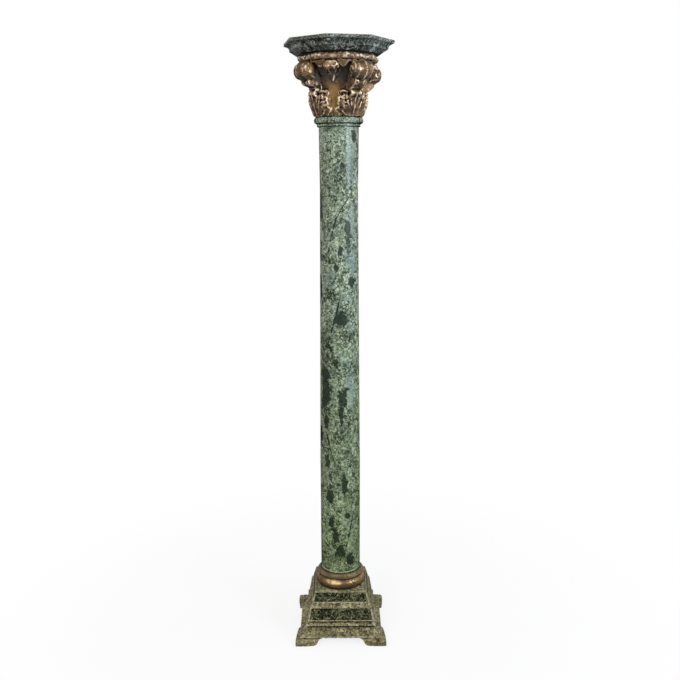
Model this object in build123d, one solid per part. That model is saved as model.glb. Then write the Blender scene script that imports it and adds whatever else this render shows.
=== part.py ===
from build123d import *
import math
import os

# A turned, carved and painted wooden column on a square tapered pedestal.
# Millimetres, +Z up, front towards -Y, origin on the floor under the middle of the pedestal.

# Heights of the pieces, from the floor up
foot_height = 21.0
plinth_height = 42.0
lower_tier_height = 48.0
tier_step_height = 8.0
upper_tier_height = 38.0
base_ring_height = 50.0
shaft_length = 1394.0
capital_height = 165.0
abacus_height = 40.0

# Feet
foot_reach = 142.0
foot_shoulder_width = 11.0
foot_shoulder_height = 9.0
foot_top_inner = 59.0
foot_floor_inner = 87.0
foot_sole_round = 4.0
foot_splay = 9.0
foot_bow = 7.0

# Plinth: fillet, cavetto, bead and the neck under the die, as half widths
plinth_half = 129.0
plinth_fillet_height = 5.0
plinth_cavetto_foot = 126.0
plinth_cavetto_head = 106.0
plinth_cavetto_height = 23.0
plinth_bead_height = 9.0
plinth_bead_swell = 4.0
plinth_neck_half = 103.0

# Die: half widths of its two battered tiers
lower_tier_foot_half = 104.5
lower_tier_head_half = 96.5
upper_tier_foot_half = 91.5
upper_tier_head_half = 81.0
tier_fillet_height = 2.0
die_tongue_half = 55.0
die_tongue_height = 15.0

# Framed fields and the marbled boards in them
frame_stile = 6.0
frame_rail = 5.5
field_depth = 5.5
board_thickness = 3.7
board_clearance = 0.2

# Base ring: torus and collar
torus_reach = 80.0
torus_tube = 16.5
quirk_radius = 68.0
quirk_height = 1.5
collar_radius = 73.5
collar_fillet_height = 3.0
collar_head_radius = 64.0

# Shaft
shaft_foot_radius = 61.9
shaft_straight_length = 350.0
shaft_waist_radius = 55.8
shaft_flare_length = 175.0
shaft_head_radius = 57.7
neck_fillet_radius = 62.5
neck_fillet_height = 7.5
neck_groove_height = 1.5
neck_groove_radius = 56.0
astragal_radius = 71.6
astragal_tube = 9.5

# Tenons and their clearances
lower_tenon_radius = 24.0
lower_tenon_depth = 35.0
upper_tenon_radius = 22.0
upper_tenon_depth = 35.0
spigot_radius = 30.0
spigot_height = 20.0
tenon_clearance = 0.3
tenon_end_gap = 1.0

# How far a cutting shape runs past what it cuts
cut_margin = 1.0

# Capital and abacus: the head is turned on the square pedestal
head_sides = 8
head_turn = 33.5
band_height = 16.0
band_apothem = 109.0
band_swell = 5.5

# Bell: a straight foot, a flaring throat and a plain lip under the band
bell_foot_radius = 60.0
bell_waist_radius = 64.0
bell_waist_height = 62.0
bell_throat_radius = 75.0
bell_throat_height = 106.0
bell_head_radius = 96.0
lip_radius = 101.0
lip_height = 7.0

# Lower acanthus leaf: its skin, its lobes on each side, its veins, its scrolls and its curled tip
leaf_foot_radius = 68.0
leaf_belly_radius = 80.0
leaf_belly_height = 24.0
leaf_crest_radius = 87.5
leaf_crest_height = 64.0
leaf_head_height = 74.0
leaf_half_width = 40.0
leaf_crown_radius = 25.0
leaf_lobe_sides = (36.0, 42.0, 30.0)
leaf_lobe_heights = (15.0, 40.0, 61.0)
leaf_lobe_radii = (14.0, 12.0, 10.0)
vein_rise = 2.5
vein_width = 6.0
vein_tip_width = 2.0
vein_root_share = 0.35
scroll_rise = 3.0
scroll_radius = 7.0
curl_reach = 85.0
curl_height = 61.0
curl_radius = 8.5
curl_half_width = 17.0

# Upper leaf: the stem, its chin and the rolled tip that ends it
stem_half_width = 19.0
stem_root_reach = 45.0
stem_foot_height = 52.0
stem_foot_reach = 80.0
stem_neck_height = 72.0
stem_neck_reach = 86.0
roll_reach = 114.0
roll_height = 120.0
roll_radius = 28.0
roll_half_width = 31.0
roll_ribs = 3
roll_rib_depth = 3.6
roll_end_radius = 16.0
roll_eye_radius = 9.0
roll_eye_rise = 3.0

# Flower, its pendant and the leaf tip at the foot of each bare field
flower_reach = 99.0
flower_height = 132.0
flower_radius = 14.5
flower_end_radius = 8.0
flower_half_width = 21.0
flower_ribs = 2
flower_rib_depth = 2.2
pendant_half_width = 17.0
pendant_height = 92.0
pendant_rise = 5.0
tip_half_width = 13.0
tip_height = 33.0
tip_rise = 6.0

# Abacus: half widths of its flat sides
abacus_foot_apothem = 108.0
abacus_slope_apothem = 129.5
abacus_slope_height = 15.0
abacus_fillet_apothem = 132.5
abacus_fillet_height = 4.0
abacus_cavetto_apothem = 145.5
abacus_apothem = 148.0
abacus_edge_height = 9.0

# Levels that the stacked pieces share
plinth_base = foot_height
die_base = plinth_base + plinth_height
step_base = die_base + lower_tier_height
upper_tier_base = step_base + tier_step_height
ring_base = upper_tier_base + upper_tier_height
shaft_base = ring_base + base_ring_height
capital_base = shaft_base + shaft_length
abacus_base = capital_base + capital_height
abacus_top = abacus_base + abacus_height
band_base = abacus_base - band_height

square_turns = (0, 90, 180, 270)
side_names = ("front", "right", "back", "left")


def outline_face(edges):
    """Close a chain of edges in the XZ plane into a face."""
    return make_face(edges)


def line_xz(start, end):
    """A straight edge between two (distance, height) points."""
    return Line((start[0], 0, start[1]), (end[0], 0, end[1]))


def arc_xz(start, middle, end):
    """An arc through three (distance, height) points."""
    return ThreePointArc(*[(point[0], 0, point[1]) for point in (start, middle, end)])


def quarter_xz(start, end, hollow):
    """A quarter-round edge between two points, hollow or swelling outwards."""
    centre_x = max(start[0], end[0]) if hollow else min(start[0], end[0])
    centre_z = start[1] if centre_x == end[0] else end[1]
    reach = math.sqrt(0.5)
    middle_x = centre_x + reach * (start[0] + end[0] - 2 * centre_x)
    middle_z = centre_z + reach * (start[1] + end[1] - 2 * centre_z)
    return arc_xz(start, (middle_x, middle_z), end)


def level_arc_xz(level_point, end):
    """An arc that is level at its first point and turns towards the second."""
    heading = math.copysign(1, end[0] - level_point[0])
    return TangentArc((level_point[0], 0, level_point[1]), (end[0], 0, end[1]), tangent=(heading, 0, 0))


def turned(edges):
    """Turn a closed outline about the column's axis."""
    return revolve(outline_face(edges), Axis.Z)


def moulded_block(edges, reach, sides):
    """A block with mitred corners that has the same moulded outline on each flat side."""
    half = outline_face(edges)
    run = extrude(half, amount=2 * reach, dir=(0, 1, 0), both=True)
    run += mirror(run, about=Plane.YZ)
    block = run
    for index in range(1, sides // 2):
        block = block & run.rotate(Axis.Z, index * 360 / sides)
    return block


def mortise(radius, base, depth):
    """The round hole that takes a tenon, with its side clearance and end gap."""
    return Pos(0, 0, base) * Cylinder(
        radius + tenon_clearance, depth + tenon_end_gap, align=(Align.CENTER, Align.CENTER, Align.MIN)
    )


def peg(radius, base, height):
    """A plain turned disc or tenon standing on the level given."""
    return Pos(0, 0, base) * Cylinder(radius, height, align=(Align.CENTER, Align.CENTER, Align.MIN))


def square_bar(half, base, height):
    """A square bar about the column's axis."""
    return Pos(0, 0, base) * Box(2 * half, 2 * half, height, align=(Align.CENTER, Align.CENTER, Align.MIN))


def make_foot():
    """One ogee bracket foot, for the corner at +X +Y."""
    ogee_middle = ((foot_top_inner + foot_floor_inner) / 2, foot_height / 2)
    shoulder_level = foot_height - foot_shoulder_height
    shoulder_inner = foot_reach - foot_shoulder_width
    elevation = [
        level_arc_xz((foot_top_inner, foot_height), ogee_middle),
        level_arc_xz((foot_floor_inner, 0), ogee_middle),
        line_xz((foot_floor_inner, 0), (foot_reach - foot_sole_round, 0)),
        quarter_xz((foot_reach - foot_sole_round, 0), (foot_reach, foot_sole_round), False),
        line_xz((foot_reach, foot_sole_round), (foot_reach, shoulder_level)),
        level_arc_xz((shoulder_inner, foot_height), (foot_reach, shoulder_level)),
        line_xz((shoulder_inner, foot_height), (foot_top_inner, foot_height)),
    ]
    side = outline_face(elevation)
    along_y = extrude(side, amount=2 * foot_reach, dir=(0, 1, 0), both=True)
    along_x = mirror(along_y.rotate(Axis.Z, 90), about=Plane.YZ)
    inner = foot_top_inner - cut_margin
    corner = foot_reach + cut_margin
    waist = foot_reach - foot_splay
    bend = (waist + foot_bow, (inner + corner) / 2)
    plan = Wire([
        Line((inner, inner), (waist, inner)),
        ThreePointArc((waist, inner), bend, (corner, corner)),
        ThreePointArc((corner, corner), (bend[1], bend[0]), (inner, waist)),
        Line((inner, waist), (inner, inner)),
    ])
    column = extrude(Face(plan), amount=foot_height)
    return along_y & along_x & column


def make_plinth():
    """Square base moulding with a mortise for the tongue of the die."""
    cavetto_base = plinth_base + plinth_fillet_height
    cavetto_top = cavetto_base + plinth_cavetto_height
    bead_top = cavetto_top + plinth_bead_height
    bead_middle = (cavetto_top + bead_top) / 2
    edges = [
        line_xz((0, plinth_base), (plinth_half, plinth_base)),
        line_xz((plinth_half, plinth_base), (plinth_half, cavetto_base)),
        line_xz((plinth_half, cavetto_base), (plinth_cavetto_foot, cavetto_base)),
        quarter_xz((plinth_cavetto_foot, cavetto_base), (plinth_cavetto_head, cavetto_top), True),
        arc_xz(
            (plinth_cavetto_head, cavetto_top),
            (plinth_cavetto_head + plinth_bead_swell, bead_middle),
            (plinth_cavetto_head, bead_top),
        ),
        line_xz((plinth_cavetto_head, bead_top), (plinth_neck_half, bead_top)),
        line_xz((plinth_neck_half, bead_top), (plinth_neck_half, die_base)),
        line_xz((plinth_neck_half, die_base), (0, die_base)),
        line_xz((0, die_base), (0, plinth_base)),
    ]
    block = moulded_block(edges, plinth_half, 4)
    slot_depth = die_tongue_height + tenon_end_gap
    return block - square_bar(die_tongue_half + tenon_clearance, die_base - slot_depth, slot_depth)


def tier_field(foot_half, head_half, base, height, inset):
    """The outline of a framed field on the front of a battered tier, and the plane that it lies in."""
    batter = foot_half - head_half
    slope = math.hypot(batter, height)
    plane = Plane(origin=(0, -foot_half, base), x_dir=(1, 0, 0), z_dir=(0, -height, batter))
    low = frame_rail + inset
    high = slope - frame_rail - inset
    low_half = foot_half - batter * low / slope - frame_stile - inset
    high_half = foot_half - batter * high / slope - frame_stile - inset
    corners = [(-low_half, low), (low_half, low), (high_half, high), (-high_half, high)]
    return corners, plane


def field_recess(tier):
    """The shallow recess of one framed field, on the front side."""
    corners, plane = tier_field(*tier, 0)
    return extrude(plane * Polygon(*corners, align=None), amount=-field_depth)


def field_board(tier):
    """The marbled board that is glued to the bottom of a recess, on the front side."""
    corners, plane = tier_field(*tier, board_clearance)
    return extrude(plane.offset(-field_depth) * Polygon(*corners, align=None), amount=board_thickness)


lower_tier = (lower_tier_foot_half, lower_tier_head_half, die_base, lower_tier_height)
upper_tier = (upper_tier_foot_half, upper_tier_head_half, upper_tier_base, upper_tier_height)


def make_die():
    """Tapered two-tier block with eight framed fields, a tongue below and a mortise above."""
    fillet_top = step_base + tier_fillet_height
    edges = [
        line_xz((0, die_base), (lower_tier_foot_half, die_base)),
        line_xz((lower_tier_foot_half, die_base), (lower_tier_head_half, step_base)),
        line_xz((lower_tier_head_half, step_base), (lower_tier_head_half, fillet_top)),
        quarter_xz((lower_tier_head_half, fillet_top), (upper_tier_foot_half, upper_tier_base), True),
        line_xz((upper_tier_foot_half, upper_tier_base), (upper_tier_head_half, ring_base)),
        line_xz((upper_tier_head_half, ring_base), (0, ring_base)),
        line_xz((0, ring_base), (0, die_base)),
    ]
    block = moulded_block(edges, lower_tier_foot_half, 4)
    for turn in square_turns:
        block -= field_recess(lower_tier).rotate(Axis.Z, turn)
        block -= field_recess(upper_tier).rotate(Axis.Z, turn)
    block += square_bar(die_tongue_half, die_base - die_tongue_height, die_tongue_height)
    return block - mortise(lower_tenon_radius, ring_base - lower_tenon_depth - tenon_end_gap, lower_tenon_depth)


def make_base_ring():
    """Turned torus with a quirk and a hollow collar, bored for the tenon of the shaft."""
    bore = lower_tenon_radius + tenon_clearance
    centre = torus_reach - torus_tube
    torus_top = ring_base + 2 * torus_tube
    collar_base = torus_top + quirk_height
    fillet_top = collar_base + collar_fillet_height
    edges = [
        line_xz((bore, ring_base), (centre, ring_base)),
        arc_xz((centre, ring_base), (torus_reach, ring_base + torus_tube), (centre, torus_top)),
        line_xz((centre, torus_top), (quirk_radius, collar_base)),
        line_xz((quirk_radius, collar_base), (collar_radius, collar_base)),
        line_xz((collar_radius, collar_base), (collar_radius, fillet_top)),
        quarter_xz((collar_radius, fillet_top), (collar_head_radius, shaft_base), True),
        line_xz((collar_head_radius, shaft_base), (bore, shaft_base)),
        line_xz((bore, shaft_base), (bore, ring_base)),
    ]
    return turned(edges)


def make_shaft():
    """Turned shaft with its taper, apophyge, groove, fillet and astragal, and a tenon at each end."""
    astragal_base = capital_base - 2 * astragal_tube
    fillet_base = astragal_base - neck_fillet_height
    groove_base = fillet_base - neck_groove_height
    astragal_seat = astragal_radius - astragal_tube
    straight_top = shaft_base + shaft_straight_length
    waist = groove_base - shaft_flare_length
    edges = [
        line_xz((0, shaft_base), (shaft_foot_radius, shaft_base)),
        line_xz((shaft_foot_radius, shaft_base), (shaft_foot_radius, straight_top)),
        line_xz((shaft_foot_radius, straight_top), (shaft_waist_radius, waist)),
        line_xz((shaft_waist_radius, waist), (shaft_head_radius, groove_base)),
        line_xz((shaft_head_radius, groove_base), (neck_groove_radius, groove_base)),
        line_xz((neck_groove_radius, groove_base), (neck_groove_radius, fillet_base)),
        line_xz((neck_groove_radius, fillet_base), (neck_fillet_radius, fillet_base)),
        line_xz((neck_fillet_radius, fillet_base), (neck_fillet_radius, astragal_base)),
        line_xz((neck_fillet_radius, astragal_base), (astragal_seat, astragal_base)),
        arc_xz(
            (astragal_seat, astragal_base),
            (astragal_radius, astragal_base + astragal_tube),
            (astragal_seat, capital_base),
        ),
        line_xz((astragal_seat, capital_base), (0, capital_base)),
        line_xz((0, capital_base), (0, shaft_base)),
    ]
    lower_tenon = peg(lower_tenon_radius, ring_base - lower_tenon_depth, base_ring_height + lower_tenon_depth)
    upper_tenon = peg(upper_tenon_radius, capital_base, upper_tenon_depth)
    return turned(edges) + lower_tenon + upper_tenon


def bell_skin(rise):
    """A turned solid whose side lies the given rise outside the bell."""
    waist = (bell_waist_radius + rise, capital_base + bell_waist_height)
    throat = (bell_throat_radius + rise, capital_base + bell_throat_height)
    head = (bell_head_radius + rise, band_base)
    edges = [
        line_xz((0, capital_base), (bell_foot_radius + rise, capital_base)),
        line_xz((bell_foot_radius + rise, capital_base), waist),
        line_xz(waist, throat),
        line_xz(throat, head),
        line_xz(head, (0, band_base)),
        line_xz((0, band_base), (0, capital_base)),
    ]
    return turned(edges)


def leaf_skin(rise):
    """A turned solid whose side swells out as the lower leaves do."""
    belly = (leaf_belly_radius + rise, capital_base + leaf_belly_height)
    crest = (leaf_crest_radius + rise, capital_base + leaf_crest_height)
    head_level = capital_base + leaf_head_height
    edges = [
        line_xz((0, capital_base), (leaf_foot_radius + rise, capital_base)),
        line_xz((leaf_foot_radius + rise, capital_base), belly),
        line_xz(belly, crest),
        line_xz(crest, (bell_waist_radius, head_level)),
        line_xz((bell_waist_radius, head_level), (0, head_level)),
        line_xz((0, head_level), (0, capital_base)),
    ]
    return turned(edges)


def relief(skin, sketch):
    """The part of a turned skin that lies behind a sketch drawn on the +X side."""
    view = Plane(origin=(0, 0, capital_base), x_dir=(0, 1, 0), z_dir=(1, 0, 0))
    return skin & extrude(view * sketch, amount=roll_reach + roll_radius)


def leaf_sketch():
    """Outline of the lower leaf: a broad blade with rounded lobes down each side."""
    shoulder = max(leaf_lobe_heights)
    sketch = Pos(0, shoulder / 2) * Rectangle(2 * leaf_crown_radius, shoulder)
    sketch += Pos(0, leaf_belly_height) * Rectangle(2 * leaf_half_width, leaf_belly_height)
    sketch += Pos(0, leaf_head_height - leaf_crown_radius) * Circle(leaf_crown_radius)
    for side, height, radius in zip(leaf_lobe_sides, leaf_lobe_heights, leaf_lobe_radii):
        sketch += Pos(side, height) * Circle(radius)
        sketch += Pos(-side, height) * Circle(radius)
    return sketch


def vein_sketch(side, height):
    """A tapered vein from the foot of the leaf towards one lobe."""
    root = side * vein_root_share
    return make_face(Polyline(
        (root - vein_width / 2, 0),
        (root + vein_width / 2, 0),
        (side + vein_tip_width / 2, height),
        (side - vein_tip_width / 2, height),
        close=True,
    ))


def make_leaf():
    """One lower leaf with its midrib, veins, side scrolls and curled tip, facing +X."""
    leaf = relief(leaf_skin(0), leaf_sketch())
    veins = vein_sketch(0, leaf_crest_height)
    for side, height in zip(leaf_lobe_sides, leaf_lobe_heights):
        veins += vein_sketch(side, height)
        veins += vein_sketch(-side, height)
    scroll_side = leaf_lobe_sides[-1]
    scroll_height = leaf_lobe_heights[-1]
    scrolls = Pos(scroll_side, scroll_height) * Circle(scroll_radius)
    scrolls += Pos(-scroll_side, scroll_height) * Circle(scroll_radius)
    curl = Rot(90, 0, 0) * Cylinder(curl_radius, 2 * curl_half_width)
    leaf += relief(leaf_skin(vein_rise), veins)
    leaf += relief(leaf_skin(scroll_rise), scrolls)
    return leaf + Pos(curl_reach, 0, capital_base + curl_height) * curl


def ribbed_roll(radius, end_radius, half_width, ribs, depth):
    """A barrel with ribs, turned about the Y axis: the rolled tip of a leaf."""
    step = 2 * half_width / ribs

    def barrel(offset):
        """Radius of the barrel at a distance from its middle."""
        return radius - (radius - end_radius) * (offset / half_width) ** 2

    edges = [Line((0, -half_width, 0), (end_radius - depth, -half_width, 0))]
    for index in range(ribs):
        low = -half_width + index * step
        ridge = (barrel(low + step / 2), low + step / 2, 0)
        edges.append(Line((barrel(low) - depth, low, 0), ridge))
        edges.append(Line(ridge, (barrel(low + step) - depth, low + step, 0)))
    edges.append(Line((end_radius - depth, half_width, 0), (0, half_width, 0)))
    edges.append(Line((0, half_width, 0), (0, -half_width, 0)))
    return revolve(make_face(edges), Axis.Y)


def make_roll():
    """The rolled tip of an upper leaf, with an eye at each end, on the stem that carries it."""
    roll = ribbed_roll(roll_radius, roll_end_radius, roll_half_width, roll_ribs, roll_rib_depth)
    eye = Rot(90, 0, 0) * Cylinder(roll_eye_radius, 2 * (roll_half_width + roll_eye_rise))
    neck = (stem_neck_reach, stem_neck_height)
    chin = (roll_reach, roll_height - roll_radius + roll_rib_depth)
    head_height = capital_height - band_height
    stem = outline_face([
        line_xz((stem_root_reach, stem_foot_height), (stem_foot_reach, stem_foot_height)),
        line_xz((stem_foot_reach, stem_foot_height), neck),
        quarter_xz(neck, chin, False),
        line_xz(chin, (roll_reach, roll_height)),
        line_xz((roll_reach, roll_height), (lip_radius, head_height)),
        line_xz((lip_radius, head_height), (stem_root_reach, head_height)),
        line_xz((stem_root_reach, head_height), (stem_root_reach, stem_foot_height)),
    ])
    stem = extrude(stem, amount=stem_half_width, dir=(0, 1, 0), both=True)
    return Pos(0, 0, capital_base) * (Pos(roll_reach, 0, roll_height) * (roll + eye) + stem)


def make_flower():
    """The small rolled flower under the band, its pendant, and the leaf tip at the foot, facing +X."""
    bud = Pos(flower_reach, 0, capital_base + flower_height) * ribbed_roll(
        flower_radius, flower_end_radius, flower_half_width, flower_ribs, flower_rib_depth
    )
    pendant = make_face(Polyline(
        (-pendant_half_width, flower_height), (0, pendant_height), (pendant_half_width, flower_height), close=True
    ))
    tip = make_face(Polyline((-tip_half_width, 0), (tip_half_width, 0), (0, tip_height), close=True))
    return bud, relief(bell_skin(pendant_rise), pendant), relief(bell_skin(tip_rise), tip)


def make_band():
    """Eight-sided half-round band that is carved with the capital."""
    seat = band_apothem - band_swell
    edges = [
        line_xz((0, band_base), (seat, band_base)),
        arc_xz((seat, band_base), (band_apothem, band_base + band_height / 2), (seat, abacus_base)),
        line_xz((seat, abacus_base), (0, abacus_base)),
        line_xz((0, abacus_base), (0, band_base)),
    ]
    return moulded_block(edges, band_apothem, head_sides)


def make_capital():
    """Bell, leaves, rolled tips, flowers, lip and band, carved from one block."""
    lip = peg(lip_radius, band_base - lip_height, lip_height)
    capital = bell_skin(0) + lip
    corner_work = [make_leaf(), make_roll()]
    middle_work = list(make_flower())
    for turn in square_turns:
        for work in corner_work:
            capital += work.rotate(Axis.Z, turn)
        for work in middle_work:
            capital += work.rotate(Axis.Z, turn + 45)
    capital += make_band()
    capital += peg(spigot_radius, abacus_base, spigot_height)
    capital -= mortise(upper_tenon_radius, capital_base, upper_tenon_depth)
    return capital.rotate(Axis.Z, head_turn)


def make_abacus():
    """Eight-sided cap: slope, fillet, cavetto and a plain edge, with a mortise for the spigot."""
    slope_top = abacus_base + abacus_slope_height
    fillet_top = slope_top + abacus_fillet_height
    edge_base = abacus_top - abacus_edge_height
    edges = [
        line_xz((0, abacus_base), (abacus_foot_apothem, abacus_base)),
        line_xz((abacus_foot_apothem, abacus_base), (abacus_slope_apothem, slope_top)),
        line_xz((abacus_slope_apothem, slope_top), (abacus_fillet_apothem, slope_top)),
        line_xz((abacus_fillet_apothem, slope_top), (abacus_fillet_apothem, fillet_top)),
        quarter_xz((abacus_fillet_apothem, fillet_top), (abacus_cavetto_apothem, edge_base), True),
        line_xz((abacus_cavetto_apothem, edge_base), (abacus_apothem, edge_base)),
        line_xz((abacus_apothem, edge_base), (abacus_apothem, abacus_top)),
        line_xz((abacus_apothem, abacus_top), (0, abacus_top)),
        line_xz((0, abacus_top), (0, abacus_base)),
    ]
    block = moulded_block(edges, abacus_apothem, head_sides)
    block -= mortise(spigot_radius, abacus_base, spigot_height)
    return block.rotate(Axis.Z, head_turn + 180 / head_sides)


def make_column():
    """Every piece of the column by its node name."""
    pieces = {
        "abacus": make_abacus(),
        "capital": make_capital(),
        "shaft": make_shaft(),
        "base_ring": make_base_ring(),
        "pedestal_die": make_die(),
        "plinth": make_plinth(),
    }
    for name, turn in zip(side_names, square_turns):
        pieces[f"upper_panel_{name}"] = field_board(upper_tier).rotate(Axis.Z, turn)
        pieces[f"lower_panel_{name}"] = field_board(lower_tier).rotate(Axis.Z, turn)
    foot = make_foot()
    for name, turn in zip(("back_right", "back_left", "front_left", "front_right"), square_turns):
        pieces[f"foot_{name}"] = foot.rotate(Axis.Z, turn)
    return pieces


os.makedirs("parts", exist_ok=True)
for node, piece in make_column().items():
    export_step(piece, f"parts/{node}.step")
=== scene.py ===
"""Looks of a tall painted and gilded wooden column: its carving, its finishes and the studio."""

import logging
import math
import random
from dataclasses import dataclass, field, replace
from enum import Enum

import bpy
import numpy as np
from mathutils import Matrix, Vector, noise


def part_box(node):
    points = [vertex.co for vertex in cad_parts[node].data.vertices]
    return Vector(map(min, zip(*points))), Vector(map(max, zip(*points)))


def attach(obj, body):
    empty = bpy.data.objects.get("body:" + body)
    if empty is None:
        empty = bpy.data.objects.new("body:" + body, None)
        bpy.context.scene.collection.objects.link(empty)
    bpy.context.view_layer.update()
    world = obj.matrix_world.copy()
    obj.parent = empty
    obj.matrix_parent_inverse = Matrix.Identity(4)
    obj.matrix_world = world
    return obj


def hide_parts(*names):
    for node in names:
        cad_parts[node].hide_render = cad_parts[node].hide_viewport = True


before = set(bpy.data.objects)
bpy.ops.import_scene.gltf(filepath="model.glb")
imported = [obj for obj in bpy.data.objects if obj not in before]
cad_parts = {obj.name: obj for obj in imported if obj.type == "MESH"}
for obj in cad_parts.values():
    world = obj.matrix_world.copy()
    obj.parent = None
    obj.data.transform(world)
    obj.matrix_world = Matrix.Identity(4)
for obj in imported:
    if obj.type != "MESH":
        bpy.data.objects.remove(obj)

log = logging.getLogger("column")

MM = 0.001
Pair = tuple[float, float]
Colour = tuple[float, float, float]
Piece = bpy.types.Object
Socket = bpy.types.NodeSocket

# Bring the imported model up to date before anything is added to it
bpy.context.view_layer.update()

# How far the eight-sided head is turned on the square pedestal, and the number of its sides
HEAD_TURN = math.radians(33.5)
HEAD_SIDES = 8
QUARTERS = 4
# Octaves of the swells that hand work leaves, and the angle up to which faces are shaded smooth
SWELL_OCTAVES = 2
SMOOTH_ANGLE = math.radians(40)
# Height of an arc over its chord, as a share of the chord: half a circle, and a cavetto
HALF_ROUND = 0.5
CAVETTO = -0.2
SIDES = (-1, 1)
# How fast a chip deepens with its noise, and the noise that it starts from
CHIP_GAIN = 3.0
CHIP_START = 0.4
NOISE_ROUGHNESS = 0.62


class Slot(Enum):
    """The finishes of the pieces that are built here, as the record names them."""

    CAP = "dark_marbling"
    GILT = "gilding"
    SHAFT = "green_marbling"
    PAINT = "olive_paint"


class Way(Enum):
    """Which way a scroll winds."""

    LEFT = -1
    RIGHT = 1


# Working with pieces


def pick(piece: Piece) -> None:
    """Make a piece the only selected object and the active one.

    Args:
        piece: the object to select.
    """
    bpy.ops.object.select_all(action="DESELECT")
    piece.select_set(True)
    bpy.context.view_layer.objects.active = piece


def take(name: str) -> Piece:
    """Name the object that was just added, and put its place into its mesh.

    Args:
        name: the new name of the active object.

    Returns:
        The active object, at the origin, unturned and unscaled.
    """
    piece = bpy.context.object
    piece.name = name
    piece.data.name = name
    bpy.ops.object.transform_apply(location=True, rotation=True, scale=True)
    return piece


def modify(piece: Piece, kind: str, **settings: object) -> None:
    """Add a modifier to a piece, set it and apply it.

    Args:
        piece: the object to change.
        kind: Blender's name for the modifier.
        **settings: values of the modifier's own properties.
    """
    pick(piece)
    modifier = piece.modifiers.new(kind.lower(), kind)
    for key, value in settings.items():
        setattr(modifier, key, value)
    bpy.ops.object.modifier_apply(modifier=modifier.name)


def clean(piece: Piece, gap: float = 0.01 * MM) -> None:
    """Merge a piece's double points and turn its faces outwards.

    Args:
        piece: the object to clean.
        gap: points nearer than this are merged.
    """
    pick(piece)
    bpy.ops.object.mode_set(mode="EDIT")
    bpy.ops.mesh.select_all(action="SELECT")
    bpy.ops.mesh.remove_doubles(threshold=gap)
    bpy.ops.mesh.normals_make_consistent(inside=False)
    bpy.ops.object.mode_set(mode="OBJECT")


def join(pieces: list[Piece], name: str) -> Piece:
    """Join several pieces into one.

    Args:
        pieces: the objects to join, the first of which is kept.
        name: name of the joined piece.

    Returns:
        The joined piece.
    """
    pick(pieces[0])
    for piece in pieces:
        piece.select_set(True)
    bpy.ops.object.join()
    return take(name)


def copy_of_node(node: str, name: str) -> Piece:
    """Copy a node of the frame into a new piece with merged points.

    Args:
        node: name of the frame's node.
        name: name of the new piece.

    Returns:
        The merged copy, which the node itself doesn't share its mesh with.
    """
    piece = bpy.data.objects.new(name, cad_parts[node].data.copy())
    bpy.context.scene.collection.objects.link(piece)
    piece.data.materials.clear()
    clean(piece)
    return piece


def ruffle(piece: Piece, size: float, strength: float) -> None:
    """Make a surface uneven, as hand work leaves it.

    Args:
        piece: the object to displace.
        size: size of the swells.
        strength: height from the lowest to the highest.
    """
    texture = bpy.data.textures.new(f"{piece.name}_swell", "CLOUDS")
    texture.noise_scale = size
    texture.noise_depth = SWELL_OCTAVES
    modify(piece, "DISPLACE", texture=texture, texture_coords="LOCAL", strength=strength, mid_level=0.5)


def points_of(piece: Piece) -> np.ndarray:
    """The places of a piece's points, as rows of three."""
    places = np.empty(3 * len(piece.data.vertices))
    piece.data.vertices.foreach_get("co", places)
    return places.reshape(-1, 3)


def normals_of(piece: Piece) -> np.ndarray:
    """The normals at a piece's points, as rows of three."""
    normals = np.empty(3 * len(piece.data.vertices))
    piece.data.vertices.foreach_get("normal", normals)
    return normals.reshape(-1, 3)


def set_points(piece: Piece, places: np.ndarray) -> None:
    """Put a piece's points where an array says."""
    piece.data.vertices.foreach_set("co", places.ravel())
    piece.data.update()


def keep_inside(piece: Piece, node: str) -> None:
    """Hold a piece within the box of the node that it stands for.

    Args:
        piece: the object to hold in.
        node: the frame's node whose box is the limit.
    """
    low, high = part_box(node)
    set_points(piece, np.clip(points_of(piece), np.array(low), np.array(high)))


def relief_of(piece: Piece, passes: int) -> np.ndarray:
    """How far each point stands out of the smoothed surface.

    Args:
        piece: a piece with an even, dense skin.
        passes: rounds of averaging, which set how broad the smoothing is.

    Returns:
        One height for each point: above nought on ridges, below it in hollows.
    """
    places = points_of(piece)
    count = len(places)
    ends = np.empty(2 * len(piece.data.edges), dtype=np.int32)
    piece.data.edges.foreach_get("vertices", ends)
    first, second = ends.reshape(-1, 2).T
    degree = np.maximum(np.bincount(first, minlength=count) + np.bincount(second, minlength=count), 1)
    smooth = places.copy()
    for _ in range(passes):
        for axis in range(3):
            column = smooth[:, axis]
            total = np.bincount(first, column[second], count) + np.bincount(second, column[first], count)
            smooth[:, axis] = 0.5 * column + 0.5 * total / degree
    return ((places - smooth) * normals_of(piece)).sum(axis=1)


def ramp(values: np.ndarray, start: float, end: float) -> np.ndarray:
    """Let values rise from 0 at a start to 1 at an end, which may lie below it."""
    return np.clip((values - start) / (end - start), 0.0, 1.0)


def hump(values: np.ndarray, middle: float, half: float) -> np.ndarray:
    """Let values rise to 1 at a middle and fall off softly on both sides."""
    return np.exp(-(((values - middle) / half) ** 2))


def store(piece: Piece, name: str, values: np.ndarray) -> None:
    """Keep one number for each point of a piece, for its material to read.

    Args:
        piece: the object that holds the numbers.
        name: name of the attribute.
        values: one number for each point.
    """
    attribute = piece.data.attributes.new(name, "FLOAT", "POINT")
    attribute.data.foreach_set("value", values.astype(np.float32))


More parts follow.
